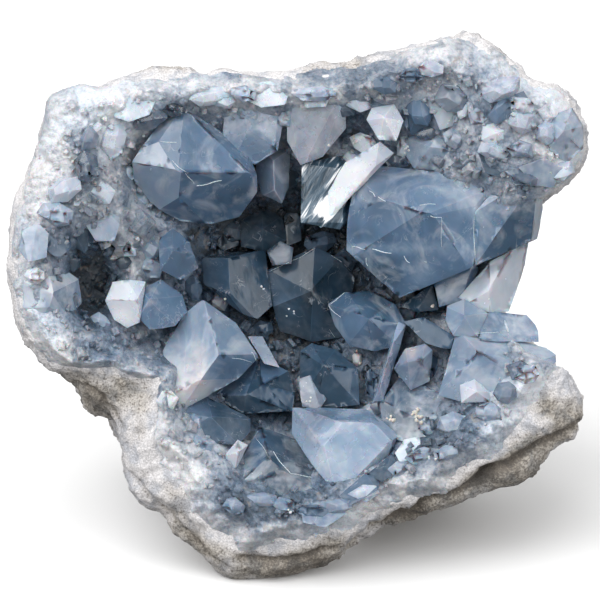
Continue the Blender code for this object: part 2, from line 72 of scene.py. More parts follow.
# The rock's outline: across, down, bare rock inside it in pixels, and its rim in millimetres
OUTLINE = [
    (46, 93, 14, 0), (76, 81, 14, 0), (100, 83, 14, 0), (122, 74, 16, -1), (141, 65, 20, -2),
    (172, 62, 22, -2), (188, 63, 20, -2), (200, 69, 16, -2), (225, 66, 14, -2), (262, 71, 14, -2),
    (291, 68, 16, -2), (311, 61, 20, -2), (345, 57, 24, -2), (367, 53, 22, -2), (401, 46, 18, -2),
    (422, 42, 16, -1), (436, 37, 18, 0), (451, 32, 22, 0), (464, 28, 26, 0), (476, 30, 26, 0),
    (485, 35, 24, 0), (497, 43, 20, 0), (512, 54, 18, 0), (524, 62, 18, 0), (530, 73, 18, 0),
    (545, 80, 20, 0), (560, 84, 20, 0), (572, 90, 18, -1), (580, 99, 16, -1), (583, 113, 14, -2),
    (590, 124, 14, -2), (591, 140, 14, -3), (589, 155, 14, -4), (583, 168, 14, -5),
    (566, 186, 14, -8), (546, 201, 12, -13), (534, 224, 10, -18), (527, 244, 10, -20),
    (519, 262, 10, -21), (507, 281, 10, -20), (500, 297, 10, -18), (505, 313, 10, -16),
    (524, 321, 10, -13), (533, 341, 12, -10), (549, 357, 14, -6), (562, 366, 16, -3),
    (572, 371, 22, 0), (579, 382, 34, 1), (585, 399, 52, 2), (586, 413, 66, 2), (583, 428, 72, 2),
    (575, 440, 68, 2), (564, 447, 62, 2), (545, 463, 56, 2), (537, 474, 54, 2), (520, 484, 48, 2),
    (491, 492, 42, 2), (474, 499, 38, 2), (455, 507, 34, 2), (434, 514, 32, 2), (407, 522, 30, 2),
    (380, 532, 30, 2), (354, 549, 34, 2), (340, 562, 42, 2), (319, 571, 46, 2), (300, 576, 44, 2),
    (268, 580, 44, 2), (228, 580, 46, 2), (201, 558, 42, 2), (184, 543, 42, 2), (170, 529, 44, 2),
    (159, 517, 48, 2), (142, 507, 50, 2), (130, 495, 50, 2), (123, 478, 48, 2), (118, 455, 52, 2),
    (113, 436, 58, 2), (110, 420, 62, 2), (103, 409, 66, 2), (88, 400, 62, 2), (75, 390, 54, 1),
    (63, 378, 40, 1), (42, 368, 22, 0), (31, 353, 14, 0), (21, 340, 12, 0), (14, 325, 12, 0),
    (9, 297, 12, 0), (6, 258, 12, 0), (10, 220, 12, 0), (20, 182, 14, 0), (28, 159, 14, 0),
    (35, 134, 14, 0), (40, 113, 14, 0),
]

# Hollows in the rock: middle across and down, half widths across and down, share of HOLLOW_DEPTH
HOLLOWS = [
    (300, 280, 236, 216, 1.00),
    (90, 278, 44, 62, 0.34),
    (352, 124, 46, 34, 0.14),
    (165, 150, 85, 75, 0.34),
    (325, 440, 130, 78, 0.30),
    (475, 375, 75, 60, 0.20),
    (430, 120, 80, 60, 0.22),
]

# The rock's back
BACK_MIDDLE = np.array((300.0, 362.0))
BACK_RADII = np.array((262.0, 222.0))
BACK_FULLNESS = 0.76
BACK_LIMIT = 0.97

ROCK_AROUND = 620
ROCK_BACK_RINGS = 78
ROCK_BAND_RINGS = 26
ROCK_HOLLOW_RINGS = 18
BED_STEP = 1.45  # pixels between neighbouring points of the crust bed
SEED = 7  # of the lumps, as in the part, and of everything scattered

SENSOR_WIDTH = 36
CAMERA_DISTANCE = 1.25
CAMERA_AIM = (300.0, 298.0)


def smooth_outline(count):
    """The outline's rows resampled on a smooth closed curve through them."""
    rows = np.array(OUTLINE, float)
    place = np.arange(count) * len(rows) / count
    start = place.astype(int)
    t = (place - start)[:, None]
    before, first, second, after = (rows[(start + k) % len(rows)] for k in (-1, 0, 1, 2))
    return 0.5 * (
        2 * first
        + (second - before) * t
        + (2 * before - 5 * first + 4 * second - after) * t**2
        + (3 * first - before - 3 * second + after) * t**3
    )


def edge_table():
    """Angles from the middle, with the outline's radius, bare band and rim height at each."""
    rows = smooth_outline(1680)
    offset = rows[:, :2] - MIDDLE
    angle = np.arctan2(offset[:, 1], offset[:, 0])
    order = np.argsort(angle)
    radius = np.hypot(offset[:, 0], offset[:, 1])
    return angle[order], radius[order], rows[order, 2], rows[order, 3] / 1000


EDGE = edge_table()


def edge_at(across, down):
    """Outline radius, bare band and rim height in the direction of these places."""
    angle = np.arctan2(down - MIDDLE[1], across - MIDDLE[0])
    return [np.interp(angle, EDGE[0], column, period=math.tau) for column in EDGE[1:]]


def stand(across, down, out):
    """Places of the face drawing, with out in metres, as points of the standing stone."""
    right = (across - MIDDLE[0]) * PIXEL
    up = (GROUND_LINE - down) * PIXEL
    back = up * math.sin(LEAN) - out * math.cos(LEAN) - STAND_BACK
    height = up * math.cos(LEAN) + out * math.sin(LEAN) + FOOT_LIFT
    return np.stack(np.broadcast_arrays(right, back, np.maximum(height, 0)), axis=-1)


def far_from(patch, across, down):
    """How far places lie from a patch's middle, squared, with 1 at its half widths."""
    middle_x, middle_y, half_x, half_y = patch[:4]
    return ((across - middle_x) / half_x) ** 2 + ((down - middle_y) / half_y) ** 2


def hollow_at(across, down):
    depth = 0.0
    for hollow in HOLLOWS:
        near = 1 - far_from(hollow, across, down)
        depth = depth + hollow[4] * np.maximum(near, 0) ** 1.3
    return depth * HOLLOW_DEPTH


def outline_level(rim):
    return np.minimum(rim, 0) - EDGE_SETBACK


def rock_face_at(across, down):
    """How far out the rock's front surface lies at places of the face."""
    radius, band, rim = edge_at(across, down)
    reach = np.hypot(across - MIDDLE[0], down - MIDDLE[1])
    inner = reach / (radius - band)
    hollow = rim * inner**2 - hollow_at(across, down) * (1 - np.minimum(inner, 1) ** 6)
    outer = np.clip((reach - radius + band) / band, 0, 1)
    rounded = rim - (rim - outline_level(rim)) * (1 - np.sqrt(1 - outer**2))
    return np.where(inner <= 1, hollow, rounded)


def crust_middle_at(across, down):
    return rock_face_at(across, down) + GAP + CRUST_THICKNESS / 2


def border_share(across, down):
    """How near places lie to the crust's border: 0 in the middle of the face, 1 on the border."""
    radius, band, _ = edge_at(across, down)
    return np.hypot(across - MIDDLE[0], down - MIDDLE[1]) / (radius - band)


def drawing_place(points):
    """Where points of the stone lie on the face drawing, seen square to the face."""
    across = points[:, 0] / PIXEL + MIDDLE[0]
    up = (points[:, 1] + STAND_BACK) * math.sin(LEAN) + (points[:, 2] - FOOT_LIFT) * math.cos(LEAN)
    return across, GROUND_LINE - up / PIXEL


def out_of(points):
    """How far points of the stone lie out from the face, in metres."""
    return -(points[:, 1] + STAND_BACK) * math.cos(LEAN) + (points[:, 2] - FOOT_LIFT) * math.sin(LEAN)


def noise_at(points, size, seed=0.0, octaves=3):
    """Smooth noise of about -1 to 1 at each point, with lumps of this size in metres."""
    shift = Vector((seed, 2.7 * seed, 1.3 * seed))
    values = [
        noise.fractal(Vector(point) / size + shift, 1.0, 2.1, octaves)
        for point in points.reshape(-1, 3)
    ]
    return np.array(values).reshape(points.shape[:-1])


def push_at(points):
    """The lumps and ledges of the rock's back, as in the part."""
    pushes = []
    for point in points.reshape(-1, 3):
        place = Vector(point) / LUMP_SIZE
        pushes.append(noise.noise_vector(place) + 0.5 * noise.noise_vector(place * 2.3))
    return np.array(pushes).reshape(points.shape)


def pits_at(points, size, seed=0.0):
    """1 in the middle of scattered pits of this size, falling to 0 between them."""
    values = []
    for point in points.reshape(-1, 3):
        distances, _ = noise.voronoi(Vector(point) / size + Vector((seed, seed, 0)))
        values.append(max(1 - distances[0] / 0.45, 0.0))
    return np.array(values).reshape(points.shape[:-1])


def back_points():
    """The domed back, ring by ring from its middle to just behind the outline."""
    rows = smooth_outline(ROCK_AROUND)
    angle = np.arctan2(rows[:, 1] - MIDDLE[1], rows[:, 0] - MIDDLE[0])
    round_offset = np.stack((np.cos(angle), np.sin(angle)), axis=-1) * BACK_RADII
    start = outline_level(rows[:, 3] / 1000)
    rings = []
    for step in range(ROCK_BACK_RINGS, 0, -1):
        turn = math.radians(90) * (step - 0.5) / ROCK_BACK_RINGS
        spread = math.cos(turn) ** BACK_FULLNESS
        depth = math.sin(turn) ** BACK_FULLNESS
        own = MIDDLE + (rows[:, :2] - MIDDLE) * spread
        place = own + (BACK_MIDDLE + spread * round_offset - own) * depth
        offset = place - MIDDLE
        limit = BACK_LIMIT * edge_at(place[:, 0], place[:, 1])[0]
        share = np.minimum(limit / np.maximum(np.hypot(*offset.T), 1), 1)
        place = MIDDLE + offset * share[:, None]
        points = stand(place[:, 0], place[:, 1], start - (ROCK_DEPTH + start) * depth)
        height = LUMP_HEIGHT * depth * np.minimum(points[:, 2:] / FOOT_FADE, 1)
        points = points + height * push_at(points)
        points[:, 2] = np.maximum(points[:, 2], 0)
        rings.append(points)
    return rings


def face_points():
    """The front of the rock, ring by ring from the outline across the bare band and inwards."""
    rows = smooth_outline(ROCK_AROUND)
    radius = np.hypot(*(rows[:, :2] - MIDDLE).T)
    inner = 1 - rows[:, 2] / radius
    rings = []
    for step in range(ROCK_BAND_RINGS):
        share = 1 - (1 - inner) * (1 - math.cos(math.radians(90) * step / ROCK_BAND_RINGS))
        rings.append(share)
    for step in range(ROCK_HOLLOW_RINGS):
        rings.append(inner * (1 - 0.97 * step / (ROCK_HOLLOW_RINGS - 1)))
    points = []
    for share in rings:
        place = MIDDLE + (rows[:, :2] - MIDDLE) * share[:, None]
        points.append(stand(place[:, 0], place[:, 1], rock_face_at(place[:, 0], place[:, 1])))
    return points


def grid_mesh(name, rings):
    """A mesh of quads between neighbouring rings, closed at both ends."""
    points = np.array(rings)
    count, around = points.shape[:2]
    index = np.arange(count * around).reshape(count, around)
    nxt = np.roll(index, -1, axis=1)
    quads = np.stack((index[:-1], index[1:], nxt[1:], nxt[:-1]), axis=-1).reshape(-1, 4)
    faces = quads.tolist()
    faces.append(index[0].tolist())
    faces.append(index[-1][::-1].tolist())
    mesh = bpy.data.meshes.new(name)
    mesh.from_pydata(points.reshape(-1, 3), [], faces)
    mesh.update()
    return mesh


# Large crystals, by their front corners: across, down, out. Each one tapers back to the crust.
CRYSTALS = {
    "upper_left_block": [
        (157, 141, -1), (162, 161, 1), (132, 161, -3), (138, 150, -3), (178, 172, 3),
        (180, 205, -6), (150, 203, -9), (133, 180, -8), (166, 114, -12), (184, 107, -13),
        (222, 128, -10), (247, 148, -8), (257, 175, -4), (257, 190, -6), (240, 215, -11),
        (215, 223, -12), (180, 222, -13), (250, 174, 0),
    ],
    "upper_left_cap": [
        (112, 105, -2), (122, 95, -1), (150, 91, -2), (156, 100, -2), (150, 115, 0),
        (130, 122, 1), (115, 118, 0),
    ],
    "left_hexagon": [
        (88, 229, 0), (96, 241, 0), (114, 241, 0), (120, 225, 0), (109, 213, 0), (95, 218, 0),
        (84, 222, -4), (118, 208, -4),
    ],
    "left_slate": [
        (48, 232, -6), (58, 226, -8), (70, 230, -9), (72, 248, -8), (60, 258, -6), (47, 252, -5),
    ],
    "left_slate_deep": [
        (72, 225, -9), (92, 222, -11), (95, 240, -11), (84, 253, -9), (72, 246, -9),
    ],
    "left_pale": [
        (22, 230, -5), (40, 224, -4), (50, 234, -4), (48, 258, -3), (30, 262, -3), (20, 250, -5),
    ],
    "left_bright": [
        (23, 284, -5), (46, 268, -6), (60, 266, -7), (77, 279, -7), (82, 303, -7), (67, 321, -4),
        (40, 320, -2), (24, 309, -3), (56, 292, 2), (50, 306, 2),
    ],
    "left_white": [
        (105, 300, -3), (112, 282, -4), (128, 279, -3), (145, 282, -2), (137, 300, 1),
        (140, 322, 0), (128, 328, -2), (113, 320, -3),
    ],
    "left_blue": [
        (140, 290, -5), (160, 279, -8), (182, 295, -8), (187, 312, -7), (175, 326, -3),
        (150, 330, -1), (138, 318, -1), (150, 300, 1),
    ],
    "grey_lump": [
        (158, 240, -6), (172, 228, -7), (188, 240, -7), (194, 254, -7), (197, 268, -8),
        (180, 280, -6), (160, 270, -4), (172, 252, -2),
    ],
    "top_grey_lump": [
        (225, 108, -6), (240, 103, -6), (275, 106, -6), (283, 120, -5), (278, 150, -5),
        (255, 164, -6), (232, 156, -6), (222, 135, -6), (250, 128, -2),
    ],
    "top_white": [
        (245, 85, -3), (270, 80, -4), (290, 92, -3), (285, 105, -1), (262, 108, -1), (248, 102, -2),
    ],
    "hanging_prism": [
        (257, 150, -13), (264, 143, -14), (290, 148, -14), (292, 165, -14), (289, 186, -13),
        (281, 202, -11), (262, 194, -11), (255, 174, -13), (272, 160, -8), (276, 190, -8),
    ],
    "beige_face": [
        (287, 102, -5), (318, 88, -5), (345, 90, -6), (346, 128, -7), (322, 157, -7),
        (301, 164, -6), (287, 142, -6), (300, 130, -3), (325, 105, -3),
    ],
    "top_flat_left": [
        (302, 92, -3), (325, 86, -3), (331, 96, -3), (326, 107, -2), (305, 108, -2),
    ],
    "top_flat_right": [
        (334, 91, -4), (350, 84, -4), (372, 98, -4), (372, 108, -3), (360, 112, -2), (340, 102, -2),
    ],
    "top_violet": [
        (369, 82, -7), (398, 76, -8), (403, 100, -7), (394, 106, -5), (372, 109, -5),
    ],
    "white_knob": [
        (367, 120, -1), (371, 108, -2), (394, 103, -2), (404, 121, -1), (396, 141, 0), (379, 140, 0),
        (384, 118, 2),
    ],
    "white_blade": [
        (366, 150, -5), (380, 141, -4), (394, 152, -5), (375, 166, -4), (352, 182, -5),
        (338, 212, -8), (320, 226, -9), (312, 217, -10), (328, 186, -8), (345, 162, -7),
    ],
    "mirror_crystal": [
        (301, 163, -9), (337, 154, -12), (354, 164, -13), (353, 216, -13), (340, 229, -9),
        (301, 222, -8), (344, 168, -9), (343, 222, -8),
    ],
    "teal_wedge": [
        (406, 97, -8), (424, 88, -9), (437, 110, -9), (436, 130, -8), (412, 134, -7), (403, 118, -8),
    ],
    "upper_right_pale": [
        (424, 88, -5), (452, 80, -5), (467, 98, -4), (462, 122, -4), (440, 130, -3), (432, 110, -2),
    ],
    "upper_right_blue": [
        (410, 136, -9), (440, 130, -7), (456, 148, -7), (446, 170, -8), (415, 168, -9),
        (403, 150, -10), (430, 148, -5),
    ],
    "right_white": [
        (482, 126, -2), (495, 120, -3), (512, 128, -3), (511, 146, -2), (495, 149, -1),
        (481, 140, -1), (495, 134, 2),
    ],
    "right_teal": [
        (478, 154, -6), (490, 147, -7), (506, 160, -7), (500, 178, -5), (484, 173, -4),
    ],
    "right_lobe_blue": [
        (545, 118, -4), (572, 108, -6), (584, 126, -7), (582, 150, -7), (567, 163, -6),
        (548, 150, -3), (562, 132, -1),
    ],
    "right_lobe_low": [
        (518, 168, -6), (544, 158, -6), (562, 168, -8), (553, 188, -9), (534, 186, -7),
    ],
    "main_block": [
        (348, 214, -8), (347, 250, -9), (354, 176, -9), (366, 163, -11), (410, 167, -10),
        (452, 173, -8), (490, 186, -8), (475, 206, 0), (473, 267, -2), (434, 284, -5),
        (400, 298, -10), (372, 278, -12), (388, 200, -2), (430, 216, 2),
    ],
    "main_block_end": [
        (475, 212, 0), (498, 206, -1), (532, 220, -6), (532, 241, -7), (513, 252, -8),
        (475, 266, -3), (497, 188, -7), (539, 174, -13), (543, 200, -10), (545, 206, -11),
        (540, 238, -12),
    ],
    "notch_wall": [
        (513, 250, -10), (531, 242, -14), (528, 262, -15), (511, 285, -15), (507, 298, -14),
        (512, 312, -12), (490, 312, -8), (468, 303, -8), (459, 298, -10), (472, 278, -10),
        (490, 262, -9), (492, 290, -6),
    ],
    "under_block_dark": [
        (400, 306, -15), (434, 284, -14), (440, 310, -14), (418, 312, -13),
    ],
    "under_block_grey": [
        (436, 284, -12), (474, 264, -11), (482, 268, -12), (462, 302, -11), (440, 307, -12),
    ],
    "right_pale_blue": [
        (448, 306, -6), (465, 299, -7), (489, 313, -7), (478, 337, -3), (454, 336, -3),
        (446, 320, -5), (464, 316, -1),
    ],
    "right_striped": [
        (482, 320, -6), (492, 311, -8), (528, 315, -11), (537, 325, -10), (540, 340, -8),
        (505, 344, -3), (480, 339, -3),
    ],
    "right_veiled": [
        (457, 334, -4), (438, 395, -1), (470, 404, 1), (500, 400, 2), (530, 386, 0),
        (557, 362, -5), (545, 348, -8), (510, 336, -6), (478, 333, -5), (478, 352, 2),
    ],
    "right_lavender": [
        (460, 385, 2), (474, 379, 2), (491, 392, 2), (490, 402, 3), (461, 402, 3), (476, 391, 5),
    ],
    "rib": [
        (399, 322, -9), (407, 325, -9), (395, 362, -7), (384, 402, -8), (373, 402, -9),
        (385, 352, -9), (392, 345, -5), (381, 388, -5),
    ],
    "cream_tipped": [
        (394, 369, -6), (406, 349, -6), (425, 344, -6), (433, 350, -6), (431, 382, -7),
        (411, 390, -6), (408, 362, -2), (422, 360, -2),
    ],
    "right_dark_prism": [
        (405, 322, -8), (423, 317, -8), (455, 336, -6), (451, 351, -5), (426, 343, -5),
    ],
    "mid_blue_face": [
        (380, 404, -8), (402, 376, -11), (440, 392, -9), (474, 408, -4), (462, 440, -1),
        (432, 448, -1), (398, 440, -4), (382, 420, -7),
    ],
    "small_white": [
        (395, 453, -1), (404, 440, -2), (416, 437, -2), (433, 447, -2), (411, 455, 0), (401, 465, 0),
    ],
    "periwinkle_block": [
        (203, 300, -8), (184, 312, -8), (176, 322, -8), (161, 354, -7), (171, 394, -1),
        (180, 411, -3), (206, 397, -5), (239, 379, -6), (258, 357, -7), (236, 323, -8),
        (219, 352, 2), (201, 380, 2),
    ],
    "slate_left": [
        (228, 255, -17), (228, 294, -16), (199, 259, -21), (203, 285, -20), (225, 250, -23),
        (265, 251, -23), (270, 270, -22), (272, 306, -22), (257, 319, -19), (243, 315, -18),
    ],
    "slate_right": [
        (267, 269, -23), (315, 246, -21), (338, 257, -23), (356, 276, -26), (346, 302, -26),
        (347, 338, -25), (312, 342, -24), (280, 332, -25), (271, 306, -23), (312, 292, -18),
    ],
    "overhang_left": [
        (208, 238, -25), (222, 214, -26), (236, 212, -26), (238, 244, -24), (222, 250, -23),
    ],
    "overhang_middle": [
        (238, 216, -25), (262, 204, -26), (282, 214, -26), (286, 240, -24), (262, 251, -23),
        (240, 246, -23), (262, 228, -20),
    ],
    "overhang_right": [
        (283, 212, -27), (300, 208, -27), (302, 240, -26), (286, 246, -25),
    ],
    "small_light": [
        (266, 250, -19), (280, 240, -20), (293, 247, -20), (291, 263, -18), (272, 265, -18),
    ],
    "round_grey": [
        (329, 304, -19), (345, 292, -20), (370, 291, -20), (396, 304, -17), (408, 325, -15),
        (400, 346, -14), (375, 352, -14), (350, 346, -16), (335, 326, -18), (368, 318, -11),
    ],
    "slate_low": [
        (300, 352, -20), (312, 344, -20), (336, 350, -18), (359, 370, -15), (360, 406, -14),
        (318, 411, -14), (300, 399, -17), (324, 366, -12),
    ],
    "dark_gable": [
        (212, 397, -12), (259, 359, -15), (288, 372, -16), (295, 392, -15), (293, 412, -14),
        (243, 415, -10), (262, 386, -9), (246, 396, -7),
    ],
    "glint": [
        (248, 337, -12), (262, 337, -13), (270, 350, -12), (279, 368, -11), (264, 364, -9),
    ],
    "dark_blue_low": [
        (178, 412, -5), (206, 397, -8), (250, 419, -8), (250, 431, -6), (238, 445, -3),
        (205, 444, -1), (184, 430, -2), (212, 418, -1),
    ],
    "white_shard": [
        (238, 440, -1), (248, 445, -1), (235, 471, 0), (223, 456, 0), (238, 452, 3),
    ],
    "gable_block": [
        (258, 428, -10), (269, 456, 0), (289, 471, 2), (246, 473, -1), (239, 484, -4),
        (263, 496, -2), (290, 491, -1), (322, 499, -7), (323, 479, -9), (310, 465, -10),
        (299, 441, -12), (238, 468, -5),
    ],
    "bright_block": [
        (345, 421, 1), (375, 425, 0), (401, 434, -6), (393, 441, -1), (388, 457, -3),
        (362, 472, -1), (338, 494, -2), (311, 466, -2), (322, 445, 1), (293, 409, -10),
        (291, 431, -10), (303, 450, -6), (366, 409, -9),
    ],
    "pink_shard": [
        (298, 380, -15), (310, 376, -15), (327, 400, -13), (320, 410, -11), (302, 408, -12),
    ],
    "low_dark_facet": [
        (340, 494, -4), (364, 474, -6), (380, 476, -6), (378, 488, -3), (348, 506, -1),
    ],
    "low_teal_facet": [
        (366, 474, -6), (391, 455, -7), (402, 470, -5), (382, 481, -2),
    ],
    "low_grey_facet": [
        (300, 504, -2), (330, 499, -3), (346, 512, -1), (325, 526, 1), (303, 521, 1),
    ],
}

# How each large crystal looks: its material, lightness (0 dark to 1 white), warmth (0 blue to 1)
LOOKS = {
    "upper_left_block": ("cloudy", 0.50, 0.05),
    "upper_left_cap": ("milky", 0.90, 0.10),
    "left_hexagon": ("cloudy", 0.74, 0.05),
    "left_slate": ("slate", 0.38, 0.00),
    "left_slate_deep": ("slate", 0.28, 0.00),
    "left_pale": ("cloudy", 0.70, 0.05),
    "left_bright": ("cloudy", 0.78, 0.05),
    "left_white": ("milky", 0.86, 0.05),
    "left_blue": ("cloudy", 0.58, 0.00),
    "grey_lump": ("cloudy", 0.45, 0.15),
    "top_grey_lump": ("milky", 0.52, 0.30),
    "top_white": ("milky", 0.86, 0.15),
    "hanging_prism": ("cloudy", 0.58, 0.55),
    "beige_face": ("milky", 0.68, 0.60),
    "top_flat_left": ("milky", 0.84, 0.20),
    "top_flat_right": ("milky", 0.78, 0.20),
    "top_violet": ("slate", 0.38, 0.30),
    "white_knob": ("milky", 0.90, 0.05),
    "white_blade": ("milky", 0.84, 0.05),
    "mirror_crystal": ("mirror", 0.36, 0.00),
    "teal_wedge": ("slate", 0.38, 0.00),
    "upper_right_pale": ("cloudy", 0.84, 0.05),
    "upper_right_blue": ("cloudy", 0.68, 0.05),
    "right_white": ("milky", 0.96, 0.05),
    "right_teal": ("slate", 0.28, 0.00),
    "right_lobe_blue": ("cloudy", 0.72, 0.10),
    "right_lobe_low": ("cloudy", 0.62, 0.15),
    "main_block": ("cloudy", 0.50, 0.00),
    "main_block_end": ("cloudy", 0.58, 0.00),
    "notch_wall": ("cloudy", 0.90, 0.05),
    "under_block_dark": ("slate", 0.20, 0.00),
    "under_block_grey": ("cloudy", 0.48, 0.05),
    "right_pale_blue": ("cloudy", 0.72, 0.00),
    "right_striped": ("cloudy", 0.60, 0.00),
    "right_veiled": ("cloudy", 0.62, 0.05),
    "right_lavender": ("milky", 0.84, 0.10),
    "rib": ("milky", 0.66, 0.05),
    "cream_tipped": ("cloudy", 0.60, 0.15),
    "right_dark_prism": ("slate", 0.34, 0.00),
    "mid_blue_face": ("cloudy", 0.34, 0.00),
    "small_white": ("milky", 0.92, 0.05),
    "periwinkle_block": ("cloudy", 0.66, 0.05),
    "slate_left": ("slate", 0.24, 0.00),
    "slate_right": ("slate", 0.28, 0.10),
    # The three overhang crystals are dark partly as painted shade under the overhang.
    "overhang_left": ("slate", 0.20, 0.30),
    "overhang_middle": ("slate", 0.22, 0.30),
    "overhang_right": ("slate", 0.20, 0.20),
    "small_light": ("cloudy", 0.36, 0.60),
    "round_grey": ("cloudy", 0.42, 0.05),
    "slate_low": ("slate", 0.30, 0.05),
    "dark_gable": ("slate", 0.26, 0.00),
    "glint": ("milky", 0.60, 0.40),
    "dark_blue_low": ("slate", 0.30, 0.00),
    "white_shard": ("milky", 0.84, 0.10),
    "gable_block": ("cloudy", 0.32, 0.00),
    "bright_block": ("milky", 0.67, 0.00),
    "pink_shard": ("cloudy", 0.60, 0.60),
    "low_dark_facet": ("slate", 0.34, 0.00),
    "low_teal_facet": ("slate", 0.28, 0.00),
    "low_grey_facet": ("cloudy", 0.50, 0.10),
}

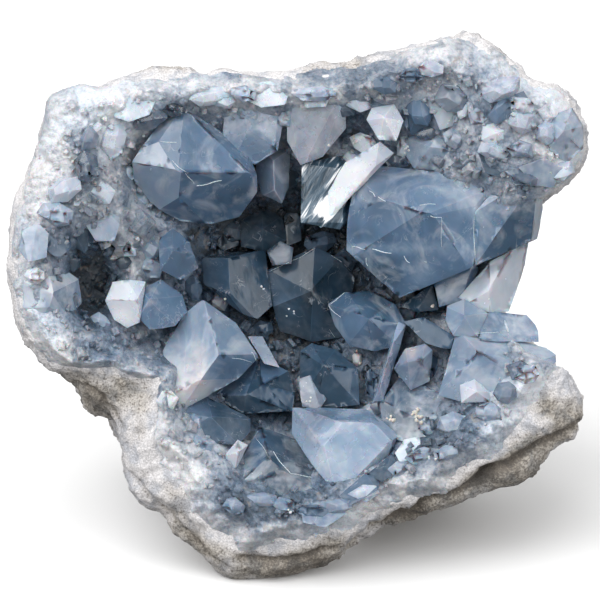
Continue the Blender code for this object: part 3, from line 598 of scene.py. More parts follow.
# Medium crystals: across, down, half widths along and across their turn in degrees, material,
# lightness, warmth
MEDIUM_CRYSTALS = [
    (148, 118, 20, 13, -20, "clear", 0.44, 0.10), (172, 108, 12, 9, 10, "clear", 0.36, 0.05),
    (90, 140, 10, 14, 20, "cloudy", 0.42, 0.00), (88, 168, 14, 18, -10, "clear", 0.42, 0.00),
    (112, 140, 15, 20, 15, "milky", 0.84, 0.05), (128, 172, 12, 10, -30, "milky", 0.70, 0.00),
    (66, 190, 20, 13, -25, "milky", 0.80, 0.10), (100, 193, 16, 13, 20, "milky", 0.76, 0.05),
    (140, 195, 16, 12, 15, "cloudy", 0.66, 0.00), (165, 213, 14, 10, -20, "clear", 0.48, 0.00),
    (58, 214, 20, 12, 15, "cloudy", 0.72, 0.05), (138, 226, 13, 11, 0, "milky", 0.78, 0.00),
    (150, 248, 12, 12, 30, "cloudy", 0.68, 0.00), (128, 250, 9, 8, 10, "milky", 0.74, 0.00),
    (108, 250, 7, 8, 30, "slate", 0.30, 0.50), (122, 262, 8, 7, -20, "slate", 0.24, 0.50),
    (148, 268, 15, 11, 10, "cloudy", 0.62, 0.00), (74, 262, 7, 10, 10, "slate", 0.20, 0.00),
    (192, 288, 9, 13, -15, "slate", 0.34, 0.00), (100, 322, 11, 8, 30, "cloudy", 0.60, 0.05),
    (36, 276, 11, 8, 0, "milky", 0.86, 0.05), (70, 300, 9, 13, 5, "clear", 0.46, 0.00),
    (205, 86, 22, 10, -10, "milky", 0.78, 0.20), (222, 100, 13, 9, 25, "milky", 0.82, 0.15),
    (208, 128, 11, 9, 0, "milky", 0.76, 0.20), (240, 80, 14, 8, 10, "milky", 0.66, 0.05),
    (262, 168, 8, 9, 10, "slate", 0.34, 0.60), (293, 172, 7, 16, 5, "slate", 0.28, 0.10),
    (286, 118, 10, 9, 30, "milky", 0.72, 0.30), (300, 150, 16, 9, 25, "milky", 0.72, 0.40),
    (318, 74, 24, 8, -5, "milky", 0.60, 0.10), (345, 108, 12, 9, 5, "slate", 0.30, 0.30),
    (404, 112, 7, 17, -15, "cloudy", 0.52, 0.25), (385, 86, 15, 9, 10, "slate", 0.42, 0.15),
    (412, 76, 13, 8, 0, "slate", 0.44, 0.20), (430, 70, 13, 8, 5, "milky", 0.74, 0.15),
    (420, 108, 14, 18, -10, "slate", 0.46, 0.00), (452, 98, 18, 15, 25, "clear", 0.74, 0.00),
    (464, 110, 6, 11, 25, "milky", 0.90, 0.05), (478, 116, 12, 9, -15, "milky", 0.66, 0.40),
    (428, 132, 12, 8, -10, "clear", 0.40, 0.00), (455, 138, 13, 10, 25, "cloudy", 0.56, 0.30),
    (508, 108, 24, 11, -38, "slate", 0.42, 0.20), (500, 90, 22, 12, -20, "milky", 0.62, 0.25),
    (522, 120, 15, 17, 10, "milky", 0.72, 0.35), (545, 84, 16, 10, 15, "milky", 0.78, 0.35),
    (520, 150, 15, 10, 10, "cloudy", 0.58, 0.05), (545, 134, 10, 13, 0, "milky", 0.66, 0.15),
    (492, 152, 16, 9, 20, "milky", 0.60, 0.30), (466, 162, 16, 8, -15, "clear", 0.50, 0.00),
    (560, 172, 17, 11, -20, "milky", 0.74, 0.15), (520, 178, 18, 9, 20, "clear", 0.48, 0.00),
    (366, 142, 16, 10, 25, "milky", 0.98, 0.00), (355, 160, 14, 9, 40, "milky", 0.95, 0.00),
    (404, 146, 7, 12, 10, "milky", 0.82, 0.20), (398, 160, 14, 9, 0, "clear", 0.52, 0.15),
    # The slate crystals at (258, 220), (230, 230) and (292, 226) lie under the overhang and are dark
    # partly as painted shade.
    (258, 220, 18, 13, 10, "slate", 0.24, 0.40), (230, 230, 12, 15, 0, "slate", 0.22, 0.15),
    (292, 226, 14, 12, 0, "slate", 0.26, 0.35), (320, 240, 18, 11, -15, "slate", 0.38, 0.10),
    (345, 262, 14, 15, 30, "slate", 0.34, 0.05), (302, 262, 20, 8, -28, "slate", 0.44, 0.45),
    (318, 290, 16, 20, -30, "slate", 0.16, 0.10), (240, 268, 17, 14, 10, "slate", 0.30, 0.05),
    (214, 268, 12, 15, 0, "slate", 0.36, 0.20), (218, 302, 11, 10, 30, "cloudy", 0.66, 0.60),
    (285, 318, 13, 9, 20, "cloudy", 0.44, 0.05), (262, 330, 12, 9, -15, "slate", 0.26, 0.00),
    (300, 330, 17, 8, 15, "slate", 0.24, 0.05), (258, 345, 11, 8, 35, "clear", 0.62, 0.25),
    (250, 372, 20, 13, -30, "slate", 0.38, 0.00), (278, 392, 18, 8, 0, "slate", 0.42, 0.00),
    (306, 388, 11, 14, -20, "cloudy", 0.60, 0.50), (358, 360, 5, 8, 0, "milky", 0.80, 0.80),
    (366, 372, 4, 7, 20, "slate", 0.20, 0.30), (372, 385, 7, 16, -5, "slate", 0.40, 0.10),
    (433, 306, 12, 8, -15, "cloudy", 0.56, 0.15), (412, 312, 12, 10, 20, "cloudy", 0.50, 0.05),
    (384, 300, 13, 10, 20, "cloudy", 0.48, 0.10), (390, 330, 12, 14, 0, "cloudy", 0.46, 0.05),
    (413, 330, 20, 10, 20, "slate", 0.40, 0.00), (440, 338, 17, 9, 20, "slate", 0.42, 0.00),
    (418, 366, 15, 18, 10, "clear", 0.52, 0.00), (402, 372, 9, 12, 0, "clear", 0.66, 0.05),
    (432, 372, 8, 20, 5, "slate", 0.40, 0.00), (382, 408, 12, 10, 0, "clear", 0.72, 0.00),
    (446, 386, 10, 14, 10, "clear", 0.64, 0.00), (470, 392, 16, 9, 10, "milky", 0.80, 0.10),
    (484, 362, 14, 10, -20, "clear", 0.72, 0.00), (520, 372, 15, 12, 20, "clear", 0.62, 0.00),
    (538, 378, 13, 10, -20, "cloudy", 0.74, 0.00),
    (505, 392, 13, 12, 0, "clear", 0.58, 0.00), (488, 412, 15, 11, 10, "cloudy", 0.66, 0.00),
    (452, 424, 16, 12, -10, "cloudy", 0.56, 0.00), (430, 428, 12, 9, 20, "cloudy", 0.50, 0.00),
    (420, 456, 15, 9, -10, "cloudy", 0.62, 0.00), (445, 452, 14, 8, -15, "cloudy", 0.60, 0.05),
    (398, 470, 13, 9, -20, "cloudy", 0.62, 0.05), (365, 498, 16, 9, -15, "milky", 0.78, 0.10),
    (340, 512, 15, 8, -5, "cloudy", 0.56, 0.10), (315, 515, 18, 9, 5, "slate", 0.42, 0.15),
    (212, 420, 22, 15, 10, "slate", 0.36, 0.00), (232, 432, 13, 11, -20, "slate", 0.34, 0.00),
    (200, 445, 15, 9, 10, "cloudy", 0.54, 0.00), (262, 500, 18, 10, 0, "cloudy", 0.54, 0.00),
    (235, 505, 12, 9, 20, "cloudy", 0.56, 0.05), (285, 505, 12, 10, 0, "cloudy", 0.58, 0.00),
    (193, 425, 13, 12, 0, "cloudy", 0.48, 0.00), (170, 345, 9, 14, 10, "milky", 0.84, 0.00),
    (168, 400, 11, 12, 20, "milky", 0.84, 0.10), (330, 478, 14, 11, 30, "clear", 0.44, 0.00),
    (315, 440, 14, 9, 20, "cloudy", 0.44, 0.05), (375, 412, 16, 7, 5, "cloudy", 0.66, 0.30),
]

# Chips, grains and flakes: across, down, size in pixels, how many, warmth
GRAINS = [
    (417, 414, 7, 9, 0.7), (393, 421, 6, 4, 0.7), (361, 355, 5, 2, 0.9), (366, 368, 4, 2, 0.8),
    (402, 310, 4, 2, 0.6), (435, 302, 4, 2, 0.6), (212, 463, 5, 2, 0.3), (230, 493, 5, 3, 0.3),
    (291, 509, 5, 2, 0.2), (249, 524, 4, 2, 0.2), (351, 134, 4, 5, 0.7), (338, 140, 4, 4, 0.6),
    (354, 141, 4, 4, 0.6), (407, 148, 4, 6, 0.2), (330, 143, 4, 3, 0.5), (430, 458, 4, 3, 0.2),
    (262, 290, 3, 3, 0.1), (290, 312, 4, 4, 0.2), (310, 402, 3, 3, 0.4), (560, 345, 4, 2, 0.4),
    (185, 465, 4, 3, 0.2), (172, 440, 4, 3, 0.2), (225, 300, 4, 2, 0.8), (318, 492, 3, 2, 0.2),
]

# Bright flaw lines and painted glints on the crystals: the ends across and down, and a width in pixels
FLAWS_AND_GLINTS = [
    (160, 141, 176, 143, 1.6), (172, 161, 188, 174, 1.2), (196, 186, 206, 184, 1.4),
    (206, 184, 222, 180, 2.2), (186, 173, 194, 184, 1.0), (430, 216, 441, 218, 1.6),
    (441, 218, 442, 247, 0.9), (232, 358, 252, 362, 1.0), (251, 352, 256, 360, 1.2),
    (268, 271, 300, 257, 1.0), (300, 257, 316, 247, 1.0), (332, 254, 352, 270, 0.9),
    (370, 190, 376, 196, 1.6), (378, 197, 386, 201, 1.6), (366, 258, 368, 266, 1.2),
    (478, 334, 500, 332, 1.0), (420, 205, 436, 204, 1.0), (352, 246, 366, 249, 2.0),
    (372, 249, 392, 253, 2.2), (404, 256, 410, 263, 1.6), (474, 214, 475, 262, 1.0),
    (341, 318, 329, 306, 1.0), (329, 306, 345, 293, 1.0), (330, 330, 346, 350, 1.0),
    (256, 438, 268, 456, 0.9), (290, 474, 318, 478, 0.7), (273, 452, 290, 474, 0.7),
]

# Lighter and darker parts of the crystals, clouds inside them and, in the first three rows, whiter
# painted
# reflection on the mirror crystal: across, down, half widths, change in lightness and in warmth
CRYSTAL_PATCHES = [
    (344, 186, 8, 10, 0.50, 0.00), (335, 200, 8, 9, 0.50, 0.00), (326, 212, 7, 8, 0.45, 0.00),
    (314, 192, 9, 12, -0.06, 0.00), (476, 200, 22, 16, 0.18, 0.10), (450, 190, 30, 10, 0.10, 0.0),
    (380, 192, 22, 24, -0.06, 0.35),
    (378, 276, 28, 20, -0.16, -0.2), (420, 272, 14, 16, 0.14, 0.20), (395, 248, 46, 5, 0.20, 0.0),
    (362, 234, 16, 8, -0.12, 0.0), (452, 250, 20, 14, 0.10, 0.0), (412, 172, 14, 10, -0.14, 0.1),
    (425, 238, 46, 20, 0.08, 0.0),
    (180, 382, 24, 34, 0.26, 0.10), (200, 362, 10, 30, 0.16, 0.10), (228, 372, 16, 16, -0.10, -0.1),
    (214, 318, 26, 14, 0.02, 0.10), (170, 395, 16, 16, 0.24, 0.10), (345, 450, 34, 26, 0.06, -0.1),
    (355, 175, 26, 22, 0.14, 0.0),
    (318, 416, 20, 9, -0.16, 0.60), (312, 436, 9, 12, -0.10, 0.45), (325, 460, 16, 14, 0.12, 0.0),
    (300, 262, 30, 12, 0.04, 0.45),
    (318, 290, 14, 24, -0.12, 0.0), (290, 310, 12, 14, 0.14, 0.1), (240, 285, 22, 26, 0.02, 0.0),
    (214, 275, 12, 16, 0.04, 0.30), (225, 205, 34, 18, -0.06, -0.2), (160, 135, 20, 8, 0.05, 0.0),
    (150, 185, 16, 14, -0.02, 0.0), (185, 155, 12, 16, -0.02, 0.15), (240, 195, 14, 10, -0.08, -0.1),
    (505, 362, 26, 14, -0.12, -0.1), (470, 345, 16, 14, 0.04, 0.2), (530, 380, 26, 14, 0.16, 0.0),
    (415, 420, 24, 22, -0.06, -0.2), (455, 425, 20, 18, 0.05, 0.0), (412, 352, 8, 10, 0.20, 0.6),
    (500, 326, 20, 6, -0.12, -0.1), (355, 322, 14, 12, 0.06, 0.0), (385, 310, 12, 10, -0.08, 0.0),
    (48, 282, 20, 10, 0.14, 0.10), (62, 300, 14, 14, -0.14, 0.1), (120, 318, 14, 12, 0.12, 0.1),
    (282, 460, 18, 14, -0.06, 0.0), (258, 450, 10, 16, 0.08, 0.0), (305, 470, 14, 10, -0.08, -0.3),
]

# Faces painted lighter or darker than the rest of their crystal, as painted light and shade: across,
# down, lightness
FACE_LIGHT_AND_SHADE = {
    "upper_left_block": [(147, 152, 0.76), (152, 184, 0.70), (205, 140, 0.50), (215, 200, 0.48)],
    "main_block": [(366, 190, 0.48), (440, 190, 0.55), (410, 230, 0.61), (375, 270, 0.44)],
    "main_block_end": [(505, 195, 0.50), (490, 202, 0.44), (505, 230, 0.36), (541, 220, 0.82)],
    "periwinkle_block": [(210, 325, 0.62), (185, 345, 0.66), (225, 365, 0.50), (190, 400, 0.74)],
    "gable_block": [(262, 452, 0.38), (290, 445, 0.30), (265, 470, 0.28), (305, 485, 0.30)],
    "bright_block": [(350, 415, 0.58), (330, 435, 0.68), (350, 455, 0.71), (370, 460, 0.66)],
    "left_bright": [(40, 285, 0.90), (65, 300, 0.56), (45, 310, 0.80)],
    "slate_left": [(215, 275, 0.28), (245, 285, 0.24)],
    "slate_right": [(300, 262, 0.24), (312, 268, 0.26), (330, 270, 0.22), (310, 310, 0.14)],
    "dark_gable": [(235, 395, 0.38), (270, 380, 0.44), (275, 402, 0.32)],
    "slate_low": [(318, 362, 0.32), (340, 385, 0.26), (315, 395, 0.20)],
    "round_grey": [(355, 310, 0.42), (380, 330, 0.40)],
    "right_veiled": [(465, 360, 0.62), (510, 365, 0.66), (500, 342, 0.74)],
    "mid_blue_face": [(420, 400, 0.28), (400, 425, 0.32), (445, 425, 0.38)],
}

# Lighter and darker parts of the crust, the darkest partly painted shade in the deep middle, the side
# pocket and under the overhang: across, down, half widths, change in lightness
TONE_MIDDLE = 0.50
TONE_AND_SHADE_PATCHES = [
    (98, 125, 46, 56, 0.32), (60, 180, 40, 40, 0.16), (245, 100, 60, 40, 0.12),
    (500, 120, 60, 50, 0.12), (565, 130, 34, 60, 0.42), (535, 398, 46, 28, 0.38),
    (350, 520, 60, 20, 0.30), (330, 74, 130, 16, -0.34), (30, 230, 26, 90, 0.08),
    (135, 240, 34, 44, 0.20), (180, 480, 36, 56, 0.26), (44, 335, 36, 26, 0.22),
    # Painted shade: (90, 285) in the side pocket, (290, 280) in the deep middle, where the crust is also
    # darker in itself, and both (255, 232) rows under the overhang.
    (460, 64, 46, 28, 0.04), (90, 285, 26, 44, -0.60), (290, 280, 110, 95, -0.56),
    (255, 232, 60, 26, -0.30), (350, 124, 26, 18, -0.26), (420, 300, 40, 22, -0.30),
    (375, 190, 40, 30, -0.20), (250, 410, 54, 24, -0.34), (88, 170, 14, 22, -0.34),
    (74, 140, 12, 16, -0.30), (420, 95, 28, 26, 0.20), (508, 106, 22, 12, -0.22),
    (543, 120, 12, 20, -0.20), (230, 135, 22, 22, -0.14), (430, 430, 46, 30, -0.28),
    (275, 505, 84, 24, -0.34), (255, 232, 50, 22, -0.20),
]
BORDER_LIGHTER = 0.27  # how much whiter the crust is along its border
BORDER_STARTS = 0.86  # where that starts and how wide it is, as shares of the way to the border
BORDER_WIDTH = 0.12
ROOT_TAPER = 0.82
ROOT_REACH = 0.94
STANDS_PROUD = 0.0030
PLANE_TOLERANCE = math.radians(17)
CLUSTER_SIZE = 0.0075
EDGE_ROUNDING = 0.00028  # width of the rounded edges of the large crystals
EDGE_HIGHLIGHT = 0.08  # how much lighter those edges are painted, a painted highlight
FACE_STEP = 0.0019  # longest edge of the triangles that carry a face's relief
FROST_DEPTH = 0.009  # a large crystal is frosted up to this height above the crust


def tone_at(across, down):
    """Lightness of the crust at places of the face, with painted shade in the deep middle, the side
    pocket and under the overhang.
    """
    tone = TONE_MIDDLE
    for patch in TONE_AND_SHADE_PATCHES:
        tone = tone + patch[4] * np.exp(-(far_from(patch, across, down) ** 1.5))
    return tone


def border_light(across, down):
    """How much whiter the crust is near its border."""
    near = (border_share(across, down) - BORDER_STARTS) / BORDER_WIDTH
    return BORDER_LIGHTER * np.clip(near, 0, 1)


def within_crust(across, down):
    """The places, or where they lie off the crust, the nearest ones on it."""
    share = np.minimum(ROOT_REACH / np.maximum(border_share(across, down), 0.01), 1)
    return MIDDLE[0] + (across - MIDDLE[0]) * share, MIDDLE[1] + (down - MIDDLE[1]) * share


def patches_at(across, down):
    """The change in lightness and in warmth that the patches on the crystals make at places: clouds
    inside them, and painted reflection on the mirror crystal.
    """
    light, warm = 0.0, 0.0
    for patch in CRYSTAL_PATCHES:
        near = np.exp(-far_from(patch, across, down))
        light = light + patch[4] * near
        warm = warm + patch[5] * near
    return light, warm


def crystal_points(corners, proud=STANDS_PROUD):
    """A large crystal's front corners and the corners of its root, as in the part."""
    across, down, out = np.array(corners, float).T
    level = crust_middle_at(across, down)
    lift = max(proud + CRUST_THICKNESS / 2 - (out / 1000 - level).max(), 0)
    front = stand(across, down, np.maximum(out / 1000 + lift, level))
    root_x = across.mean() + (across - across.mean()) * ROOT_TAPER
    root_y = down.mean() + (down - down.mean()) * ROOT_TAPER
    root_x, root_y = within_crust(root_x, root_y)
    root = stand(root_x, root_y, crust_middle_at(root_x, root_y))
    return [Vector(point) for point in np.concatenate((front, root))]


def hull_planes(points):
    """The flat faces of the hull of these points, near-coplanar triangles taken as one face."""
    builder = bmesh.new()
    for point in points:
        builder.verts.new(point)
    hull = bmesh.ops.convex_hull(builder, input=builder.verts)
    loose = [v for v in hull["geom_interior"] + hull["geom_unused"] if isinstance(v, bmesh.types.BMVert)]
    bmesh.ops.delete(builder, geom=list(set(loose)), context="VERTS")
    bmesh.ops.recalc_face_normals(builder, faces=builder.faces)
    bmesh.ops.dissolve_limit(
        builder,
        angle_limit=PLANE_TOLERANCE,
        verts=builder.verts,
        edges=builder.edges,
    )
    builder.normal_update()
    planes = [(face.calc_center_median(), face.normal.copy()) for face in builder.faces]
    builder.free()
    return planes


def cut_block(points):
    """The points' hull with exactly flat faces, cut from a box that just holds the points."""
    low = Vector([min(point[axis] for point in points) for axis in range(3)])
    high = Vector([max(point[axis] for point in points) for axis in range(3)])
    builder = bmesh.new()
    bmesh.ops.create_cube(builder, size=1)
    bmesh.ops.scale(builder, verts=builder.verts, vec=high - low)
    bmesh.ops.translate(builder, verts=builder.verts, vec=(low + high) / 2)
    for place, normal in hull_planes(points):
        parts = builder.verts[:] + builder.edges[:] + builder.faces[:]
        cut = bmesh.ops.bisect_plane(
            builder,
            geom=parts,
            dist=1e-6,
            plane_co=place,
            plane_no=normal,
            clear_outer=True,
        )
        rim = [part for part in cut["geom_cut"] if isinstance(part, bmesh.types.BMEdge)]
        if len(rim) > 2:
            bmesh.ops.contextual_create(builder, geom=rim)
    bmesh.ops.recalc_face_normals(builder, faces=builder.faces)
    return builder


def split_long_edges(builder, length):
    """The faces cut up until their edges are about this long."""
    bmesh.ops.triangulate(builder, faces=builder.faces)
    for _ in range(8):
        long_edges = [edge for edge in builder.edges if edge.calc_length() > length]
        if not long_edges:
            return
        bmesh.ops.subdivide_edges(builder, edges=long_edges, cuts=1)
        bmesh.ops.triangulate(builder, faces=builder.faces)


def set_face_light_and_shade(name, builder, tones, tone, dice):
    """Each flat face a little lighter or darker at random, and the listed faces with their painted light
    and shade.
    """
    for face in builder.faces:
        face[tones] = tone + dice.uniform(-0.04, 0.04)
    tree = BVHTree.FromBMesh(builder)
    builder.faces.ensure_lookup_table()
    for across, down, face_tone in FACE_LIGHT_AND_SHADE.get(name, []):
        _, _, index, _ = tree.ray_cast(Vector(stand(across, down, 0.1)), -SQUARE)
        if index is not None:
            # painted light or shade on this face
            builder.faces[index][tones] = face_tone


def roughen(builder, frosts):
    """Slight waves in the faces, and frost where the crystal comes near the crust."""
    builder.normal_update()
    points = np.array([vertex.co[:] for vertex in builder.verts])
    waves = 0.00016 * noise_at(points, 0.0052, 21.0, 2) + 0.00003 * noise_at(points, 0.0011, 23.0, 2)
    across, down = drawing_place(points)
    above = out_of(points) - crust_middle_at(across, down) - CRUST_THICKNESS / 2
    frost = np.clip(1 - above / FROST_DEPTH + 0.5 * noise_at(points, 0.006, 25.0, 3), 0, 1)
    for vertex, wave, value in zip(builder.verts, waves, frost):
        vertex.co += vertex.normal * wave
        vertex[frosts] = value


def crystal_mesh(name, points, tone, warmth, dice):
    """One crystal with narrow rounded edges, painted lighter as a highlight, and slightly wavy faces."""
    builder = cut_block(points)
    tones = builder.faces.layers.float.new("tone")
    warmths = builder.faces.layers.float.new("warmth")
    frosts = builder.verts.layers.float.new("frost")
    set_face_light_and_shade(name, builder, tones, tone, dice)
    bevelled = bmesh.ops.bevel(
        builder,
        geom=builder.edges[:],
        offset=EDGE_ROUNDING,
        segments=3,
        profile=0.5,
        affect="EDGES",
        clamp_overlap=True,
    )
    for face in bevelled["faces"]:
        # the rounded edges painted lighter as a highlight
        face[tones] = tone + EDGE_HIGHLIGHT
    bmesh.ops.remove_doubles(builder, verts=builder.verts, dist=2e-6)
    bmesh.ops.dissolve_degenerate(builder, edges=builder.edges, dist=2e-6)
    bmesh.ops.recalc_face_normals(builder, faces=builder.faces)
    split_long_edges(builder, FACE_STEP)
    roughen(builder, frosts)
    for face in builder.faces:
        face[warmths] = warmth
        face.smooth = True
    mesh = built_mesh(name, builder)
    points, _ = mesh_arrays(mesh)
    light, warm = patches_at(*drawing_place(points))
    store(mesh, "patch_light", light)
    store(mesh, "patch_warm", warm)
    return mesh


def medium_corners(across, down, half_x, half_y, turn, dice):
    """Front corners of a medium crystal: a ring of six and, further out, the corners of its top."""
    turn = math.radians(turn)
    corners = []
    sides = dice.choice((5, 6, 6, 7))
    shift = dice.uniform(-0.2, 0.2), dice.uniform(-0.2, 0.2)
    depth = 0.55 * min(half_x, half_y) * PIXEL * 1000
    for count, reach, out, middle in ((sides, 1.0, -depth, (0, 0)), (4, 0.5, 0.0, shift)):
        for corner in range(count):
            angle = math.tau * (corner + dice.uniform(-0.16, 0.16) + 0.5) / count
            wide = reach * dice.uniform(0.92, 1.1)
            x = (math.cos(angle) * wide + middle[0]) * half_x
            y = (math.sin(angle) * wide + middle[1]) * half_y
            place_x = across + x * math.cos(turn) - y * math.sin(turn)
            place_y = down + x * math.sin(turn) + y * math.cos(turn)
            corners.append((place_x, place_y, out + dice.uniform(-0.2, 0.2) * depth))
    return corners


def join_meshes(name, meshes, material):
    """One piece made of several meshes that share a material."""
    builder = bmesh.new()
    for mesh in meshes:
        builder.from_mesh(mesh)
    joined = built_mesh(name, builder)
    joined.validate()
    return add_piece(name, joined, material)


def built_mesh(name, builder):
    mesh = bpy.data.meshes.new(name)
    builder.to_mesh(mesh)
    builder.free()
    return mesh


def add_piece(name, mesh, material):
    mesh.materials.clear()
    mesh.materials.append(material)
    piece = bpy.data.objects.new(name, mesh)
    bpy.context.collection.objects.link(piece)
    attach(piece, "root")
    return piece


def make_large_crystals(materials):
    dice = random.Random(SEED)
    kinds = {}
    for name, corners in CRYSTALS.items():
        kind, tone, warmth = LOOKS[name]
        mesh = crystal_mesh(name, crystal_points(corners), tone, warmth, dice)
        kinds.setdefault(kind, []).append(mesh)
    for across, down, half_x, half_y, turn, kind, tone, warmth in MEDIUM_CRYSTALS:
        across, down = (float(place) for place in within_crust(across, down))
        corners = np.array(medium_corners(across, down, half_x, half_y, turn, dice))
        level = 1000 * crust_middle_at(across, down)
        corners[:, 2] += level
        proud = 0.0020 + 0.45 * min(half_x, half_y) * PIXEL
        mesh = crystal_mesh("medium", crystal_points(corners, proud), tone, warmth, dice)
        kinds.setdefault(kind, []).append(mesh)
    return [
        join_meshes("crystals_" + kind, meshes, materials[kind]) for kind, meshes in kinds.items()
    ]


def front_tree(pieces):
    """The meshes of these pieces, for finding what shows at a place of the face."""
    builder = bmesh.new()
    for piece in pieces:
        builder.from_mesh(piece.data)
    tree = BVHTree.FromBMesh(builder)
    builder.free()
    return tree


def front_point(tree, across, down):
    """The front-most surface point at a place of the face and the direction square to it."""
    point, square, _, _ = tree.ray_cast(Vector(stand(across, down, 0.1)), -SQUARE)
    return point, square


def add_box(builder, middle, along, beside, square):
    """A small six-sided block with these three half axes."""
    box = bmesh.ops.create_cube(builder, size=2)
    for vertex in box["verts"]:
        x, y, z = vertex.co
        narrow = 0.35 if z > 0 else 1.0
        vertex.co = middle + x * along * (0.5 + 0.5 * narrow) + y * beside * narrow + z * square


def make_flaws_and_glints(tree, material):
    """Bright flaw lines and painted glints as thin ridges that lie in the crystals' faces."""
    builder = bmesh.new()
    for start_x, start_y, end_x, end_y, width in FLAWS_AND_GLINTS:
        count = max(int(math.hypot(end_x - start_x, end_y - start_y) / 3), 2)
        places = []
        for step in range(count + 1):
            share = step / count
            wander = 0.5 * math.sin(5 * share + start_x)
            across = start_x + (end_x - start_x) * share + wander
            down = start_y + (end_y - start_y) * share - wander
            places.append(front_point(tree, across, down))
        for step, ((first, square), (second, _)) in enumerate(zip(places, places[1:])):
            if first is None or second is None or (first - second).length > 6 * PIXEL:
                continue
            along = (second - first) / 2
            taper = math.sin(math.pi * (step + 0.5) / count) ** 0.5
            beside = square.cross(along).normalized() * 0.3 * width * taper * PIXEL
            add_box(builder, (first + second) / 2, along * 1.15, beside, square * 0.00015)
    add_piece("flaws_and_glints", built_mesh("flaws_and_glints", builder), material)


def make_grains(tree, material):
    """Cream and white grains and chips caught on the crystals."""
    dice = random.Random(SEED + 2)
    builder = bmesh.new()
    warmths = builder.faces.layers.float.new("warmth")
    for across, down, size, count, warmth in GRAINS:
        for _ in range(count):
            spread = size * 0.6 if count > 1 else 0
            point, square = front_point(
                tree, across + dice.gauss(0, spread), down + dice.gauss(0, spread)
            )
            if point is None:
                continue
            half = size * PIXEL * dice.uniform(0.25, 0.5)
            lump = bmesh.ops.create_icosphere(builder, subdivisions=1, radius=half)
            for vertex in lump["verts"]:
                vertex.co = point + vertex.co * dice.uniform(0.6, 1.2) + square * half * 0.2
            for face in {face for vertex in lump["verts"] for face in vertex.link_faces}:
                face[warmths] = warmth
    add_piece("grains", built_mesh("grains", builder), material)


# Small crystals, one unit tall and standing on the crust: half widths of the block, height of
# its shoulders, half widths of its top, and how far the top lies off the middle.
SMALL_FORMS = [
    (0.50, 0.36, 0.62, 0.30, 0.06, 0.04),
    (0.58, 0.22, 0.70, 0.40, 0.05, -0.06),
    (0.40, 0.40, 0.50, 0.14, 0.10, 0.08),
    (0.46, 0.42, 0.74, 0.34, 0.24, 0.00),
    (0.34, 0.30, 0.48, 0.08, 0.04, -0.05),
]


def small_form(form):
    """Corners and triangles of a small block crystal with a roof."""
    half_x, half_y, shoulder, top_x, top_y, shift = form
    builder = bmesh.new()
    for x, y in ((1, 1), (-1, 1), (-1, -1), (1, -1)):
        builder.verts.new((x * half_x, y * half_y, -0.5))
        builder.verts.new((x * half_x, y * half_y, shoulder + 0.05 * x * y + shift))
        builder.verts.new((x * top_x + shift, y * top_y + shift, 1.0 + 0.04 * x))
    bmesh.ops.convex_hull(builder, input=builder.verts)
    bmesh.ops.triangulate(builder, faces=builder.faces)
    bmesh.ops.recalc_face_normals(builder, faces=builder.faces)
    builder.verts.index_update()
    points = np.array([vertex.co[:] for vertex in builder.verts])
    faces = np.array([[vertex.index for vertex in face.verts] for face in builder.faces])
    builder.free()
    return points, faces


def surface_normals(across, down):
    """Directions square to the crust at places of the face."""
    here = stand(across, down, crust_middle_at(across, down))
    right = stand(across + 3, down, crust_middle_at(across + 3, down)) - here
    lower = stand(across, down + 3, crust_middle_at(across, down + 3)) - here
    square = np.cross(right, lower)
    square *= -1 / np.linalg.norm(square, axis=-1, keepdims=True)
    return square


def turned_frames(points, square, tilt, dice):
    """Three axes for each crystal. Those of one cluster lean and turn nearly the same way."""
    leans, turns = [], []
    for point in points:
        place = Vector(point) / CLUSTER_SIZE
        leans.append(noise.cell_vector(place))
        turns.append(noise.cell_vector(place + Vector((40, 40, 40))))
    axis = square + tilt * (2 * np.array(leans) - 1) + 0.10 * dice.normal(size=square.shape)
    axis /= np.linalg.norm(axis, axis=-1, keepdims=True)
    side = np.cross(axis, 2 * np.array(turns) - 1 + 0.20 * dice.normal(size=square.shape))
    side /= np.linalg.norm(side, axis=-1, keepdims=True)
    return np.stack((side, np.cross(axis, side), axis), axis=1)


def scatter_places(spacing, overlap, dice):
    """Places all over the crust, one in each square of a grid, and on part of the bare band."""
    columns, rows = np.arange(0, PICTURE_WIDTH, spacing), np.arange(0, PICTURE_HEIGHT, spacing)
    grid_x, grid_y = np.meshgrid(columns, rows)
    across = (grid_x + dice.uniform(0, spacing, grid_x.shape)).ravel()
    down = (grid_y + dice.uniform(0, spacing, grid_y.shape)).ravel()
    radius, band, _ = edge_at(across, down)
    reach = radius - band + overlap * band * dice.uniform(0, 1, across.shape) ** 2
    inside = np.hypot(across - MIDDLE[0], down - MIDDLE[1]) < reach
    return across[inside], down[inside]


def scatter_mesh(name, across, down, width, height, tilt, sink, dice):
    """One mesh of many small crystals, each with its own size, turn and lightness."""
    forms = [small_form(form) for form in SMALL_FORMS]
    pick = dice.integers(len(forms), size=len(across))
    level = crust_middle_at(across, down) - sink
    base = stand(across, down, level)
    axes = turned_frames(base, surface_normals(across, down), tilt, dice)
    tone = tone_at(across, down) + 0.08 + dice.normal(0, 0.05, len(across))
    tone += border_light(across, down)
    points, faces, tones = [], [], []
    total = 0
    for index, (corners, triangles) in enumerate(forms):
        chosen = np.flatnonzero(pick == index)
        size = np.stack((width[chosen], width[chosen], height[chosen]), axis=-1)
        local = corners[None] * size[:, None]
        placed = base[chosen, None] + np.einsum("nij,njk->nik", local, axes[chosen])
        points.append(placed.reshape(-1, 3))
        steps = total + np.arange(len(chosen)) * len(corners)
        faces.append((triangles[None] + steps[:, None, None]).reshape(-1, 3))
        tones.append(np.repeat(tone[chosen], len(triangles)))
        total += len(chosen) * len(corners)
    mesh = bpy.data.meshes.new(name)
    mesh.from_pydata(np.concatenate(points), [], np.concatenate(faces).tolist())
    attribute = mesh.attributes.new("tone", "FLOAT", "FACE")
    attribute.data.foreach_set("value", np.concatenate(tones))
    mesh.update()
    return mesh


